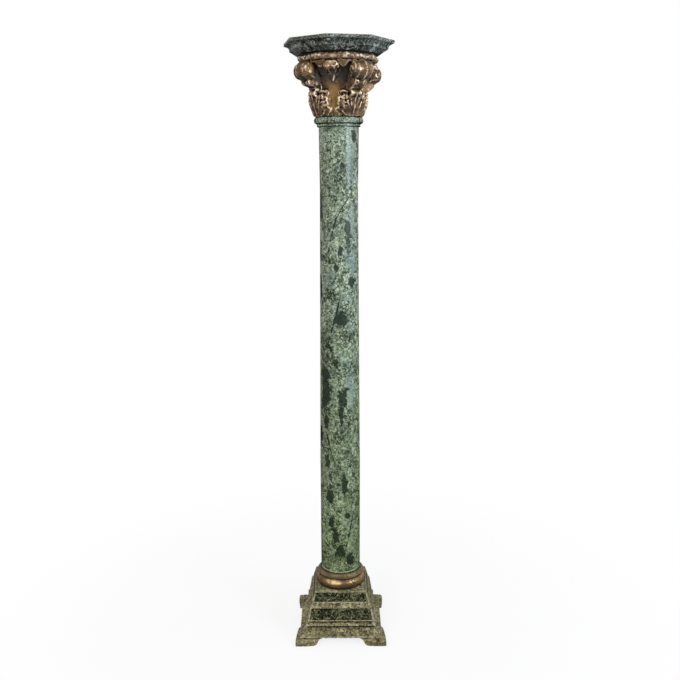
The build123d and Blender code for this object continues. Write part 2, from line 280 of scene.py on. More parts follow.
def mark_relief(
    piece: Piece, passes: int, height: float, seams: tuple[float, ...] = (), reach: float = 2.5 * MM,
    dirt: np.ndarray | float = 0.0, calm: np.ndarray | float = 1.0,
) -> None:
    """Keep a piece's ridges and hollows as an attribute from -1 to 1.

    Args:
        piece: a piece with an even, dense skin.
        passes: rounds of averaging.
        height: the height that counts as a full ridge.
        seams: heights of the joints with other pieces, along which grime lies.
        reach: how far from a joint the grime reaches.
        dirt: more darkening, as one number for each point, such as a painted shadow.
        calm: share of the ridges and hollows that is kept, in the same way.
    """
    relief = np.clip(relief_of(piece, passes) / height, -1.0, 1.0) * calm - dirt
    level = points_of(piece)[:, 2]
    for seam in seams:
        relief = relief - 2.0 * ramp(np.abs(level - seam), reach, 0.0)
    store(piece, "relief", np.clip(relief, -1.0, 1.0))


def cloudy(places: np.ndarray, size: float, shift: tuple = (0, 0, 0)) -> np.ndarray:
    """Smooth noise at some places, in swells of one size and moved by a shift."""
    return np.array([noise.noise(Vector(place) / size + Vector(shift)) for place in places])


@dataclass(frozen=True)
class HandWork:
    """How a piece is worked by hand and has worn since.

    voxel is the size of its faces and eased the rounds that ease its edges. Swells of a size and height
    make it uneven. Chips of a depth and size break what stands out by more than the edge, in a pattern
    that the seed sets. A ridge of the full height counts as 1 in its relief. The passes are the rounds
    of averaging that find edges and ridges.
    """

    voxel: float
    eased: int
    swell: float
    swell_height: float
    chip_depth: float
    chip_size: float
    seed: float
    full_ridge: float
    edge: float = 0.25 * MM
    edge_passes: int = 8
    ridge_passes: int = 10

    def skin(self, piece: Piece) -> None:
        """Give a closed piece an even, dense skin and ease its edges."""
        modify(piece, "REMESH", mode="VOXEL", voxel_size=self.voxel, adaptivity=0.0)
        modify(piece, "SMOOTH", factor=0.5, iterations=self.eased)

    def roughen(self, piece: Piece) -> None:
        """Make a piece's surface uneven, and break small chips out of its edges."""
        ruffle(piece, self.swell, self.swell_height)
        places = points_of(piece)
        edges = relief_of(piece, self.edge_passes) > self.edge
        rough = cloudy(places[edges], self.chip_size, (self.seed, 2 * self.seed, 3 * self.seed))
        depth = self.chip_depth * np.clip(CHIP_GAIN * rough - CHIP_START, 0.0, 1.0)
        places[edges] -= normals_of(piece)[edges] * depth[:, None]
        set_points(piece, places)

    def mark(self, piece: Piece, **options: object) -> None:
        """Keep a piece's relief, with the options of mark_relief."""
        mark_relief(piece, self.ridge_passes, self.full_ridge, **options)


def finish_piece(piece: Piece, slot: Slot, material: bpy.types.Material, *nodes: str) -> None:
    """Dress a piece, seat it on the column and say what it stands for.

    Args:
        piece: the finished object.
        slot: the record's material slot; not used.
        material: the material that it wears.
        *nodes: the frame's nodes that it replaces.
    """
    piece.data.materials.clear()
    piece.data.materials.append(material)
    pick(piece)
    bpy.ops.object.shade_smooth_by_angle(angle=SMOOTH_ANGLE)
    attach(piece, "root")
    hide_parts(*nodes)
    log.info("%s: %d faces, for %s", piece.name, len(piece.data.polygons), ", ".join(nodes))


# Outlines and the forms that are made from them


def arc(start: Pair, end: Pair, bulge: float, steps: int) -> list[Pair]:
    """Points of a circular arc between two points, without the first.

    Args:
        start: where the arc starts, as distance from the axis and height.
        end: where it ends.
        bulge: the arc's height over its chord, as a share of the chord, to the right of the way along.
        steps: how many points it gets.

    Returns:
        The points after the start, the last of which is the end.
    """
    chord = Vector(end) - Vector(start)
    side = Vector((chord.y, -chord.x))
    sweep = 4 * math.atan(2 * abs(bulge))
    radius = 0.5 / math.sin(sweep / 2)
    points = []
    for step in range(1, steps + 1):
        turn = sweep * (step / steps - 0.5)
        along = 0.5 + radius * math.sin(turn)
        across = math.copysign(radius * math.cos(turn) - radius * math.cos(sweep / 2), bulge)
        points.append(tuple(Vector(start) + along * chord + across * side))
    return points


def even(outline: list[Pair], spacing: float) -> list[Pair]:
    """Divide the long stretches of an outline evenly.

    Args:
        outline: points of the outline.
        spacing: the longest stretch that is left.

    Returns:
        The same outline with more points.
    """
    points = [outline[0]]
    for start, end in zip(outline, outline[1:]):
        cuts = max(1, math.ceil(math.dist(start, end) / spacing))
        points += [tuple(Vector(start).lerp(Vector(end), cut / cuts)) for cut in range(1, cuts + 1)]
    return points


def turned(name: str, outline: list[Pair], steps: int) -> Piece:
    """Turn an outline about the column's axis, as on a lathe.

    Args:
        name: name of the piece.
        outline: points as distance from the axis and height, from the foot to the head.
        steps: divisions of the full turn.

    Returns:
        The closed turned piece.
    """
    bpy.ops.object.select_all(action="DESELECT")
    radius, height = outline[0]
    bpy.ops.mesh.primitive_plane_add(size=MM, location=(radius, 0, height))
    piece = take(name)
    bpy.ops.object.mode_set(mode="EDIT")
    bpy.ops.mesh.select_all(action="SELECT")
    bpy.ops.mesh.merge(type="CENTER")
    for start, end in zip(outline, outline[1:]):
        move = (end[0] - start[0], 0, end[1] - start[1])
        bpy.ops.mesh.extrude_vertices_move(TRANSFORM_OT_translate={"value": move})
    bpy.ops.mesh.select_all(action="SELECT")
    bpy.ops.mesh.spin(steps=steps, angle=math.tau, center=(0, 0, 0), axis=(0, 0, 1))
    bpy.ops.object.mode_set(mode="OBJECT")
    clean(piece)
    return piece


def moulded(name: str, sides: int, corner: float, outline: list[Pair]) -> Piece:
    """Build a block with flat sides that has the same moulding on each.

    Args:
        name: name of the piece.
        sides: number of flat sides.
        corner: angle of one corner from +Y.
        outline: points as half width and height, from the foot to the head.

    Returns:
        The closed block.
    """
    bpy.ops.object.select_all(action="DESELECT")
    half, height = outline[0]
    bpy.ops.mesh.primitive_circle_add(
        vertices=sides,
        radius=half / math.cos(math.pi / sides),
        fill_type="NGON",
        location=(0, 0, height),
        rotation=(0, 0, corner),
    )
    piece = take(name)
    bpy.ops.object.mode_set(mode="EDIT")
    bpy.ops.mesh.select_all(action="SELECT")
    for start, end in zip(outline, outline[1:]):
        share = end[0] / start[0]
        bpy.ops.mesh.extrude_region_move(TRANSFORM_OT_translate={"value": (0, 0, end[1] - start[1])})
        bpy.ops.transform.resize(value=(share, share, 1), center_override=(0, 0, 0))
    bpy.ops.object.mode_set(mode="OBJECT")
    clean(piece)
    return piece


# Materials


@dataclass(frozen=True)
class Patches:
    """Broad patches: swells in each metre, octaves, bend, and the noise levels that they run between."""

    scale: float
    detail: float
    warp: float
    low: float
    high: float


@dataclass(frozen=True)
class Flecks:
    """Flecks of paint: their colour, how much of them shows, and the inputs of their group."""

    colour: Colour
    share: float
    scale: float
    start: float
    full: float
    warp: float
    shift: float = 0.0
    cluster: float = 0.0


@dataclass(frozen=True)
class Threads:
    """Thin wandering lines, given in the same way."""

    colour: Colour
    share: float
    scale: float
    start: float
    full: float
    warp: float
    lean: float


@dataclass(frozen=True)
class Wear:
    """Rubbed ridges, which show to a share, and dirty hollows, given in the same way. On gilding the rubbed
    ridges are also a painted highlight.
    """

    rubbed: Colour
    dirty: Colour
    share: float
    grain: float
    ragged: float
    ridge: float
    hollow: float


@dataclass(frozen=True)
class Tint:
    """A tint that turns from one colour into another between two heights over the floor."""

    heights: Pair
    first: Colour
    second: Colour


class Graph:
    """A node tree, with short calls that add and link its nodes."""

    def __init__(self, tree: bpy.types.NodeTree) -> None:
        """Work on a node tree."""
        self.tree = tree

    def add(self, kind: str, inputs: dict | None = None, **settings: object) -> bpy.types.Node:
        """Add a node.

        Args:
            kind: Blender's name for the node, without its ShaderNode.
            inputs: values or sockets by the input's name or number.
            **settings: values of the node's own properties.

        Returns:
            The new node.
        """
        node = self.tree.nodes.new(f"ShaderNode{kind}")
        for key, value in settings.items():
            setattr(node, key, value)
        for key, value in (inputs or {}).items():
            if isinstance(value, Socket):
                self.tree.links.new(value, node.inputs[key])
            elif value is not None:
                node.inputs[key].default_value = value
        return node

    def place(self) -> Socket:
        """The place on the object itself."""
        return self.add("TexCoord").outputs["Object"]

    def noise(
        self, scale: float | Socket, detail: float = 4.0, warp: float = 0.0,
        where: Socket | None = None,
    ) -> Socket:
        """Cloudy noise.

        Args:
            scale: swells in each metre.
            detail: octaves of finer swells.
            warp: how far the noise bends itself.
            where: the place that it reads.

        Returns:
            The socket with the noise.
        """
        inputs = {
            "Vector": where or self.place(), "Scale": scale, "Detail": detail, "Roughness": NOISE_ROUGHNESS,
            "Distortion": warp,
        }
        return self.add("TexNoise", inputs).outputs["Fac"]

    def span(self, value: Socket, low: float | Socket, high: float | Socket) -> Socket:
        """Spread the part of a value between two levels over 0 to 1."""
        inputs = {"Value": value, "From Min": low, "From Max": high}
        return self.add("MapRange", inputs, clamp=True, interpolation_type="SMOOTHSTEP").outputs["Result"]

    def sum(self, first: Socket | float, second: Socket | float, kind: str = "ADD") -> Socket:
        """Join two numbers by a sum or another plain operation."""
        return self.add("Math", {0: first, 1: second}, operation=kind).outputs[0]

    def mix(self, share: Socket | float, first: object, second: object, kind: str = "MIX") -> Socket:
        """Mix two colours.

        Args:
            share: how much of the second colour there is.
            first: the colour below, as a colour or a socket.
            second: the colour above.
            kind: Blender's name for the way they mix.

        Returns:
            The socket with the mixed colour.
        """
        inputs = {0: share, 6: full(first), 7: full(second)}
        return self.add("Mix", inputs, data_type="RGBA", blend_type=kind).outputs[2]

    def attribute(self, name: str) -> Socket:
        """The number that a piece keeps for each of its points."""
        return self.add("Attribute", attribute_name=name).outputs["Fac"]

    def swing(self, cloud: Socket, height: Socket | float) -> Socket:
        """Let a noise swing about nought, by a height from the lowest to the highest."""
        return self.sum(self.sum(cloud, 0.5, "SUBTRACT"), height, "MULTIPLY")

    def patches(self, patches: Patches) -> Socket:
        """The mask of broad patches."""
        cloud = self.noise(patches.scale, patches.detail, patches.warp)
        return self.span(cloud, patches.low, patches.high)

    def tint(self, ground: Socket, tint: Tint) -> Socket:
        """Tint a ground by its height over the floor."""
        height = self.add("SeparateXYZ", {0: self.place()}).outputs["Z"]
        colour = self.mix(self.span(height, *tint.heights), tint.first, tint.second)
        return self.mix(1.0, ground, colour, "MULTIPLY")

    def layer(self, shared: bpy.types.NodeTree, layer: Flecks | Threads | Wear) -> bpy.types.Node:
        """Place a shared group, and give it those of a layer's fields that are its inputs.

        Args:
            shared: the group.
            layer: the layer.

        Returns:
            The group's node.
        """
        node = self.tree.nodes.new("ShaderNodeGroup")
        node.node_tree = shared
        for key, value in vars(layer).items():
            if key.capitalize() in node.inputs:
                node.inputs[key.capitalize()].default_value = value
        return node

    def cover(self, ground: Socket, mask: Socket, share: float, colour: Colour) -> Socket:
        """Lay a colour over a ground, to a share of a mask."""
        return self.mix(self.sum(mask, share, "MULTIPLY"), ground, colour)


def full(colour: object) -> object:
    """Give a plain colour the alpha that a socket wants, and leave a socket as it is."""
    if isinstance(colour, tuple) and len(colour) == 3:
        return (*colour, 1.0)
    return colour


def new_group(
    name: str, inputs: dict[str, float], outputs: list[str],
) -> tuple[Graph, dict, bpy.types.Node]:
    """Start a shared node group.

    Args:
        name: name of the group.
        inputs: its inputs, with their first values.
        outputs: its outputs.

    Returns:
        Its graph, its inputs as sockets by name, and its output node.
    """
    tree = bpy.data.node_groups.new(name, "ShaderNodeTree")
    for key, value in inputs.items():
        socket = tree.interface.new_socket(name=key, in_out="INPUT", socket_type="NodeSocketFloat")
        socket.default_value = value
    for key in outputs:
        tree.interface.new_socket(name=key, in_out="OUTPUT", socket_type="NodeSocketFloat")
    entry = tree.nodes.new("NodeGroupInput")
    leave = tree.nodes.new("NodeGroupOutput")
    return Graph(tree), {key: entry.outputs[key] for key in inputs}, leave


# How much relief lies between where wear begins and where it is full
WEAR_SPAN = 0.45


def make_wear() -> bpy.types.NodeTree:
    """Build the group that finds rubbed ridges and dirty hollows, which on gilding also paint a highlight
    and on the die a shadow.

    Returns:
        The group, with the masks Rubbed and Dirty.
    """
    graph, given, leave = new_group(
        "hand_wear", {"Grain": 220.0, "Ragged": 0.5, "Ridge": 0.25, "Hollow": 0.25}, ["Rubbed", "Dirty"]
    )
    relief = graph.attribute("relief")
    ragged = graph.swing(graph.noise(given["Grain"], 3.0), given["Ragged"])
    high = graph.sum(relief, ragged)
    low = graph.sum(ragged, relief, "SUBTRACT")
    rubbed = graph.span(high, given["Ridge"], graph.sum(given["Ridge"], WEAR_SPAN))
    dirty = graph.span(low, given["Hollow"], graph.sum(given["Hollow"], WEAR_SPAN))
    graph.tree.links.new(rubbed, leave.inputs["Rubbed"])
    graph.tree.links.new(dirty, leave.inputs["Dirty"])
    return graph.tree


def make_flecks() -> bpy.types.NodeTree:
    """Build the group that scatters flecks of paint.

    Returns:
        The group, with the mask Flecks.
    """
    graph, given, leave = new_group(
        "paint_flecks",
        {"Scale": 150.0, "Start": 0.5, "Full": 0.6, "Warp": 0.6, "Shift": 0.0, "Cluster": 0.0},
        ["Flecks"],
    )
    moved = graph.add("VectorMath", {0: graph.place(), 1: given["Shift"]}, operation="ADD").outputs[0]
    cloud = graph.noise(given["Scale"], 5.0, where=moved)
    graph.tree.links.new(given["Warp"], cloud.node.inputs["Distortion"])
    swell = graph.swing(graph.noise(15.0, 3.0, 0.8, moved), given["Cluster"])
    flecks = graph.span(graph.sum(cloud, swell), given["Start"], given["Full"])
    graph.tree.links.new(flecks, leave.inputs["Flecks"])
    return graph.tree


def make_threads() -> bpy.types.NodeTree:
    """Build the group that draws thin wandering lines.

    Returns:
        The group, with the mask Threads.
    """
    graph, given, leave = new_group(
        "marble_threads", {"Scale": 30.0, "Start": 0.02, "Full": 0.0, "Warp": 1.5, "Lean": 0.0}, ["Threads"]
    )
    turn = graph.add("CombineXYZ", {"X": given["Lean"], "Y": given["Lean"], "Z": 0.0}).outputs[0]
    inputs = {"Vector": graph.place(), "Rotation": turn, "Scale": (1.0, 1.0, 2.4)}
    where = graph.add("Mapping", inputs, vector_type="TEXTURE")
    cloud = graph.noise(given["Scale"], 3.0, where=where.outputs["Vector"])
    graph.tree.links.new(given["Warp"], cloud.node.inputs["Distortion"])
    middle = graph.sum(graph.sum(cloud, 0.5, "SUBTRACT"), 0.0, "ABSOLUTE")
    threads = graph.span(middle, given["Start"], given["Full"])
    graph.tree.links.new(threads, leave.inputs["Threads"])
    return graph.tree


@dataclass(frozen=True)
class Shared:
    """The node groups that more than one finish uses."""

    worn: bpy.types.NodeTree
    flecks: bpy.types.NodeTree
    threads: bpy.types.NodeTree

    def lay(self, graph: Graph, ground: object, layer: Flecks | Threads) -> tuple[Socket, Socket]:
        """Lay flecks or threads over a ground.

        Args:
            graph: the material's graph.
            ground: the colour below.
            layer: the flecks or threads.

        Returns:
            The new ground, and the mask of what lies on it.
        """
        mask = graph.layer(self.flecks if isinstance(layer, Flecks) else self.threads, layer).outputs[0]
        return graph.cover(ground, mask, layer.share, layer.colour), mask

    def wear(self, graph: Graph, ground: Socket, wear: Wear) -> Socket:
        """Rub a ground's ridges and soil its hollows.

        Args:
            graph: the material's graph.
            ground: the colour below.
            wear: how worn it is.

        Returns:
            The worn ground.
        """
        masks = graph.layer(self.worn, wear).outputs
        ground = graph.cover(ground, masks["Rubbed"], wear.share, wear.rubbed)
        return graph.mix(masks["Dirty"], ground, wear.dirty)


def new_material(name: str) -> tuple[bpy.types.Material, Graph, bpy.types.Node]:
    """Start a material.

    Args:
        name: name of the material.

    Returns:
        The material, its graph and its shader.
    """
    material = bpy.data.materials.new(name)
    material.use_nodes = True
    return material, Graph(material.node_tree), material.node_tree.nodes["Principled BSDF"]


def close_material(
    graph: Graph, shader: bpy.types.Node, colour: Socket, rough: Socket, height: Socket, depth: float,
    gloss: float = 0.2,
) -> None:
    """Link a finish's colour, roughness and bump to its shader.

    Args:
        graph: the material's graph.
        shader: its shader.
        colour: the colour over the surface.
        rough: the roughness over the surface.
        height: the fine relief over the surface.
        depth: real height of that relief.
        gloss: level of the mirror-like share of a painted surface.
    """
    shader.inputs["Specular IOR Level"].default_value = gloss
    bump = graph.add("Bump", {"Height": height, "Distance": depth, "Strength": 1.0})
    graph.tree.links.new(colour, shader.inputs["Base Color"])
    graph.tree.links.new(rough, shader.inputs["Roughness"])
    graph.tree.links.new(bump.outputs["Normal"], shader.inputs["Normal"])


@dataclass(frozen=True)
class Paint:
    """Paint in layers over two colours in patches, worn, and tinted by the height.

    The grain has a scale, octaves and a real height. The first layer stands out of it by the body's share.
    """

    name: str
    ground: Colour
    layers: tuple[Flecks | Threads, ...]
    rough: Patches
    grain: tuple[float, float, float]
    body: float = 1.0
    gloss: float = 0.2
    patch: Colour = (0.0, 0.0, 0.0)
    patches: Patches | None = None
    worn: Wear | None = None
    tint: Tint | None = None

    def age(self, graph: Graph, shared: Shared, ground: Socket) -> Socket:
        """Wear the paint and tint it.

        Args:
            graph: the material's graph.
            shared: the groups that it uses.
            ground: the fresh paint.

        Returns:
            The aged paint.
        """
        if self.worn:
            ground = shared.wear(graph, ground, self.worn)
        return graph.tint(ground, self.tint) if self.tint else ground

    def make(self, shared: Shared) -> bpy.types.Material:
        """Build the material.

        Args:
            shared: the groups that it uses.

        Returns:
            The new material.
        """
        material, graph, shader = new_material(self.name)
        ground = self.ground
        if self.patches:
            ground = graph.mix(graph.patches(self.patches), self.ground, self.patch)
        ground, first = shared.lay(graph, ground, self.layers[0])
        for layer in self.layers[1:]:
            ground, _ = shared.lay(graph, ground, layer)
        ground = self.age(graph, shared, ground)
        scale, octaves, depth = self.grain
        fine = graph.sum(graph.noise(scale, octaves), graph.sum(first, self.body, "MULTIPLY"))
        close_material(graph, shader, ground, graph.patches(self.rough), fine, depth, self.gloss)
        return material


@dataclass(frozen=True)
class BlotchedMarbling(Paint):
    """Marbling with cool veils, in part a painted sheen, and ragged dark blotches, which the piece places.
    """

    veil: Colour = (0.270, 0.370, 0.360)
    rim: Colour = (0.570, 0.670, 0.520)
    blotch: Colour = (0.010, 0.026, 0.012)
    coarse: tuple[float, float, float] = (45.0, 3.0, 0.8)
    coarse_swing: float = 2.6
    fine: tuple[float, float, float] = (170.0, 4.0, 1.0)
    fine_swing: float = 1.8
    veil_span: Pair = (0.3, 0.7)
    veil_share: float = 0.5
    rim_rise: Pair = (0.20, 0.40)
    rim_fall: Pair = (0.40, 0.55)
    rim_share: float = 0.35
    blotch_span: Pair = (0.42, 0.58)
    blotch_share: float = 0.92
    edge_gloss: Pair = (0.3, 0.7)

    def age(self, graph: Graph, shared: Shared, ground: Socket) -> Socket:
        """Lay the veils, in part a painted sheen, and the blotches over the paint, tint it and wear it.

        Args:
            graph: the material's graph.
            shared: the groups that it uses.
            ground: the fresh paint.

        Returns:
            The aged paint.
        """
        coarse = graph.swing(graph.noise(*self.coarse), self.coarse_swing)
        veil = graph.span(graph.sum(graph.attribute("cool"), coarse), *self.veil_span)
        ground = graph.cover(ground, veil, self.veil_share, self.veil)
        ragged = graph.swing(graph.noise(*self.fine), self.fine_swing)
        spread = graph.sum(graph.attribute("blotch"), graph.sum(coarse, ragged))
        rise, fall = graph.span(spread, *self.rim_rise), graph.span(spread, *self.rim_fall)
        ground = graph.cover(ground, graph.sum(rise, fall, "SUBTRACT"), self.rim_share, self.rim)
        core = graph.span(spread, *self.blotch_span)
        ground = graph.cover(ground, core, self.blotch_share, self.blotch)
        return shared.wear(graph, graph.tint(ground, self.tint), self.worn)

    def make(self, shared: Shared) -> bpy.types.Material:
        """Build the material, without the mirror-like light along a piece's edges that would hide them.

        Args:
            shared: the groups that it uses.

        Returns:
            The new material.
        """
        material = super().make(shared)
        graph = Graph(material.node_tree)
        facing = graph.add("LayerWeight", {"Blend": 0.5}).outputs["Facing"]
        start, end = self.edge_gloss
        inputs = {"Value": facing, "From Min": start, "From Max": end, "To Min": self.gloss, "To Max": 0.0}
        level = graph.add("MapRange", inputs).outputs["Result"]
        shader = material.node_tree.nodes["Principled BSDF"]
        graph.tree.links.new(level, shader.inputs["Specular IOR Level"])
        return material


@dataclass(frozen=True)
class Gilding:
    """Rubbed gilding over brown bole, dark in its hollows. Its pale rubbed ridges are also a painted
    highlight, the glow attribute paints highlights and clean gold, and the shade_and_dust attribute paints
    shading and dusty tones.
    """

    name: str
    patches: Patches
    bald: Flecks
    worn: Wear
    metal: float
    rough: float
    gold: Colour = (0.360, 0.222, 0.112)
    bronze: Colour = (0.130, 0.078, 0.044)
    # Colour and share of the painted shade and the dust that the shade_and_dust attribute marks
    dust: Colour = (0.062, 0.056, 0.060)
    # Colour and share of the painted highlights and the clean gold that the glow attribute marks
    glow: Colour = (0.370, 0.240, 0.088)
    glow_share: float = 0.75
    dust_share: float = 0.92
    bare_metal: float = 0.2
    bare_rough: float = 0.35
    grain: float = 240.0
    grain_depth: float = 0.35 * MM

    def make(self, shared: Shared) -> bpy.types.Material:
        """Build the material.

        Args:
            shared: the groups that it uses.

        Returns:
            The new material.
        """
        material, graph, shader = new_material(self.name)
        ground = graph.mix(graph.patches(self.patches), self.bronze, self.gold)
        ground, bald = shared.lay(graph, ground, self.bald)
        glow = graph.attribute("glow")
        ground = graph.cover(ground, glow, self.glow_share, self.glow)
        shade_and_dust = graph.attribute("shade_and_dust")
        ground = graph.cover(ground, shade_and_dust, self.dust_share, self.dust)
        masks = graph.layer(shared.worn, self.worn).outputs
        ground = graph.mix(masks["Rubbed"], ground, self.worn.rubbed)
        dirt = graph.sum(masks["Dirty"], graph.sum(1.0, glow, "SUBTRACT"), "MULTIPLY")
        ground = graph.mix(dirt, ground, self.worn.dirty)
        bare = graph.sum(graph.sum(dirt, bald, "MAXIMUM"), shade_and_dust, "MAXIMUM")
        inputs = {"Value": bare, "To Min": self.metal, "To Max": self.bare_metal * self.metal}
        leaf = graph.add("MapRange", inputs).outputs["Result"]
        graph.tree.links.new(leaf, shader.inputs["Metallic"])
        matt = graph.sum(graph.sum(bare, glow, "MAXIMUM"), self.bare_rough, "MULTIPLY")
        fine = graph.sum(graph.noise(self.grain, 4.0), bald, "SUBTRACT")
        close_material(graph, shader, ground, graph.sum(self.rough, matt), fine, self.grain_depth)
        return material


# The column's own finishes

GREEN_PALE = (0.570, 0.670, 0.520)
GREEN_DEEP = (0.014, 0.030, 0.010)
GREEN_MARBLING = BlotchedMarbling(
    "worn_green_marbling",
    ground=(0.235, 0.305, 0.175),
    patch=(0.215, 0.300, 0.250),
    patches=Patches(14.0, 4.0, 0.8, 0.42, 0.62),
    layers=(
        Flecks(GREEN_PALE, 1.0, 100.0, 0.50, 0.54, 1.0, cluster=0.25),
        Flecks(GREEN_DEEP, 0.95, 90.0, 0.51, 0.55, 1.4, 3.7, 0.5),
        Flecks(GREEN_DEEP, 0.9, 115.0, 0.57, 0.61, 0.4, 8.1),
        Threads(GREEN_DEEP, 0.6, 22.0, 0.030, 0.006, 2.0, 0.5),
        Threads(GREEN_PALE, 0.55, 34.0, 0.022, 0.004, 2.6, -0.6),
    ),
    worn=Wear(GREEN_PALE, (0.010, 0.026, 0.012), 0.6, 260.0, 0.6, 0.35, 0.3),
    tint=Tint((1.2, 0.0), (1.06, 1.06, 1.06), (0.43, 0.48, 0.32)),
    rough=Patches(45.0, 4.0, 0.0, -0.3, 1.9),
    grain=(300.0, 3.0, 0.15 * MM),
    body=0.5,
    gloss=0.35,
)

OLIVE_DARK = (0.016, 0.012, 0.003)
OLIVE_PAINT = Paint(
    "worn_olive_paint",
    ground=(0.130, 0.122, 0.060),
    patch=(0.215, 0.190, 0.100),
    patches=Patches(30.0, 5.0, 0.5, 0.38, 0.64),
    layers=(
        Flecks((0.450, 0.410, 0.270), 0.75, 100.0, 0.51, 0.56, 0.9, cluster=0.4),
        Flecks(OLIVE_DARK, 0.8, 105.0, 0.53, 0.57, 1.1, 5.1, 0.3),
    ),
    worn=Wear((0.520, 0.490, 0.370), OLIVE_DARK, 0.5, 130.0, 1.2, 0.28, 0.12),
    tint=Tint((0.10, 0.18), (1.04, 1.03, 1.0), (0.88, 0.88, 0.86)),
    rough=Patches(60.0, 4.0, 0.0, -1.2, 1.2),
    grain=(260.0, 4.0, 0.4 * MM),
)

PANEL_VEIN = (0.330, 0.335, 0.195)
PANEL_MARBLING = Paint(
    "worn_panel_marbling",
    ground=(0.004, 0.005, 0.001),
    layers=(
        Flecks((0.016, 0.022, 0.007), 1.0, 60.0, 0.42, 0.66, 1.4),
        Threads(PANEL_VEIN, 0.80, 34.0, 0.016, 0.004, 1.3, 0.9),
        Threads(PANEL_VEIN, 0.62, 50.0, 0.016, 0.004, 1.3, -1.0),
    ),
    rough=Patches(50.0, 4.0, 0.0, -0.8, 1.8),
    grain=(200.0, 3.0, 0.2 * MM),
    body=0.0,
    gloss=0.1,
)

CAP_PALE = (0.470, 0.500, 0.470)
CAP_DARK = (0.010, 0.013, 0.011)
DARK_MARBLING = Paint(
    "worn_dark_marbling",
    ground=(0.024, 0.032, 0.028),
    patch=(0.082, 0.106, 0.100),
    patches=Patches(24.0, 5.0, 0.9, 0.40, 0.62),
    layers=(
        Flecks(CAP_PALE, 1.0, 75.0, 0.52, 0.56, 1.6, cluster=0.7),
        Flecks(CAP_DARK, 0.85, 60.0, 0.50, 0.56, 1.0, 2.3, 0.4),
        Threads(CAP_PALE, 0.5, 26.0, 0.030, 0.006, 2.2, 0.9),
    ),
    worn=Wear((0.520, 0.520, 0.465), CAP_DARK, 0.52, 95.0, 1.8, 0.35, 0.15),
    rough=Patches(60.0, 4.0, 0.0, -0.8, 1.6),
    grain=(220.0, 4.0, 0.4 * MM),
)

BOLE = (0.040, 0.018, 0.008)
SOOT = (0.010, 0.007, 0.005)
# Pale gold of the gilding's rubbed ridges, brightened into a painted highlight
RUBBED_GOLD_AND_HIGHLIGHT = (0.950, 0.770, 0.570)
RING_GILDING = Gilding(
    "ring_gilding",
    Patches(14.0, 5.0, 0.6, 0.40, 0.62),
    Flecks(BOLE, 0.8, 80.0, 0.525, 0.625, 0.8, cluster=0.4),
    Wear(RUBBED_GOLD_AND_HIGHLIGHT, SOOT, 1.0, 110.0, 0.6, 0.7, 0.08),
    metal=0.65,
    rough=0.28,
    gold=(0.310, 0.205, 0.098),
    dust=(0.080, 0.084, 0.046),
    # Pale gold of the ring's painted highlight
    glow=(0.880, 0.670, 0.340),
)
HEAD_GILDING = Gilding(
    "head_gilding",
    Patches(26.0, 5.0, 0.6, 0.40, 0.62),
    Flecks(BOLE, 0.8, 130.0, 0.53, 0.63, 0.8, cluster=0.4),
    Wear(RUBBED_GOLD_AND_HIGHLIGHT, SOOT, 1.0, 110.0, 1.5, 0.18, 0.08),
    metal=0.5,
    rough=0.32,
)


# The column's own pieces


@dataclass
class Abacus:
    """Eight-sided cap: slope, fillet, cavetto and a plain edge."""

    foot: float = 108.0 * MM
    slope: float = 129.5 * MM
    slope_height: float = 15.0 * MM
    fillet: float = 132.5 * MM
    fillet_height: float = 4.0 * MM
    cavetto: float = 145.5 * MM
    edge: float = 148.0 * MM
    edge_height: float = 9.0 * MM
    seam_reach: float = 5.0 * MM
    work: HandWork = HandWork(1.7 * MM, 3, 30 * MM, 0.8 * MM, 2.2 * MM, 6 * MM, 4.0, 0.9 * MM)

    def build(self, material: bpy.types.Material) -> None:
        """Model the cap, chip its edges and dress it.

        Args:
            material: the dark marbling.
        """
        low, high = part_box("abacus")
        slope_top = low[2] + self.slope_height
        fillet_top = slope_top + self.fillet_height
        edge_base = high[2] - self.edge_height
        outline = [
            (self.foot, low[2]),
            (self.slope, slope_top),
            (self.fillet, slope_top),
            (self.fillet, fillet_top),
            *arc((self.fillet, fillet_top), (self.cavetto, edge_base), CAVETTO, 5),
            (self.edge, edge_base),
            (self.edge, high[2]),
        ]
        piece = moulded("moulded_cap", HEAD_SIDES, HEAD_TURN, outline)
        self.work.skin(piece)
        self.work.roughen(piece)
        keep_inside(piece, "abacus")
        self.work.mark(piece, seams=(low[2],), reach=self.seam_reach)
        finish_piece(piece, Slot.CAP, material, "abacus")


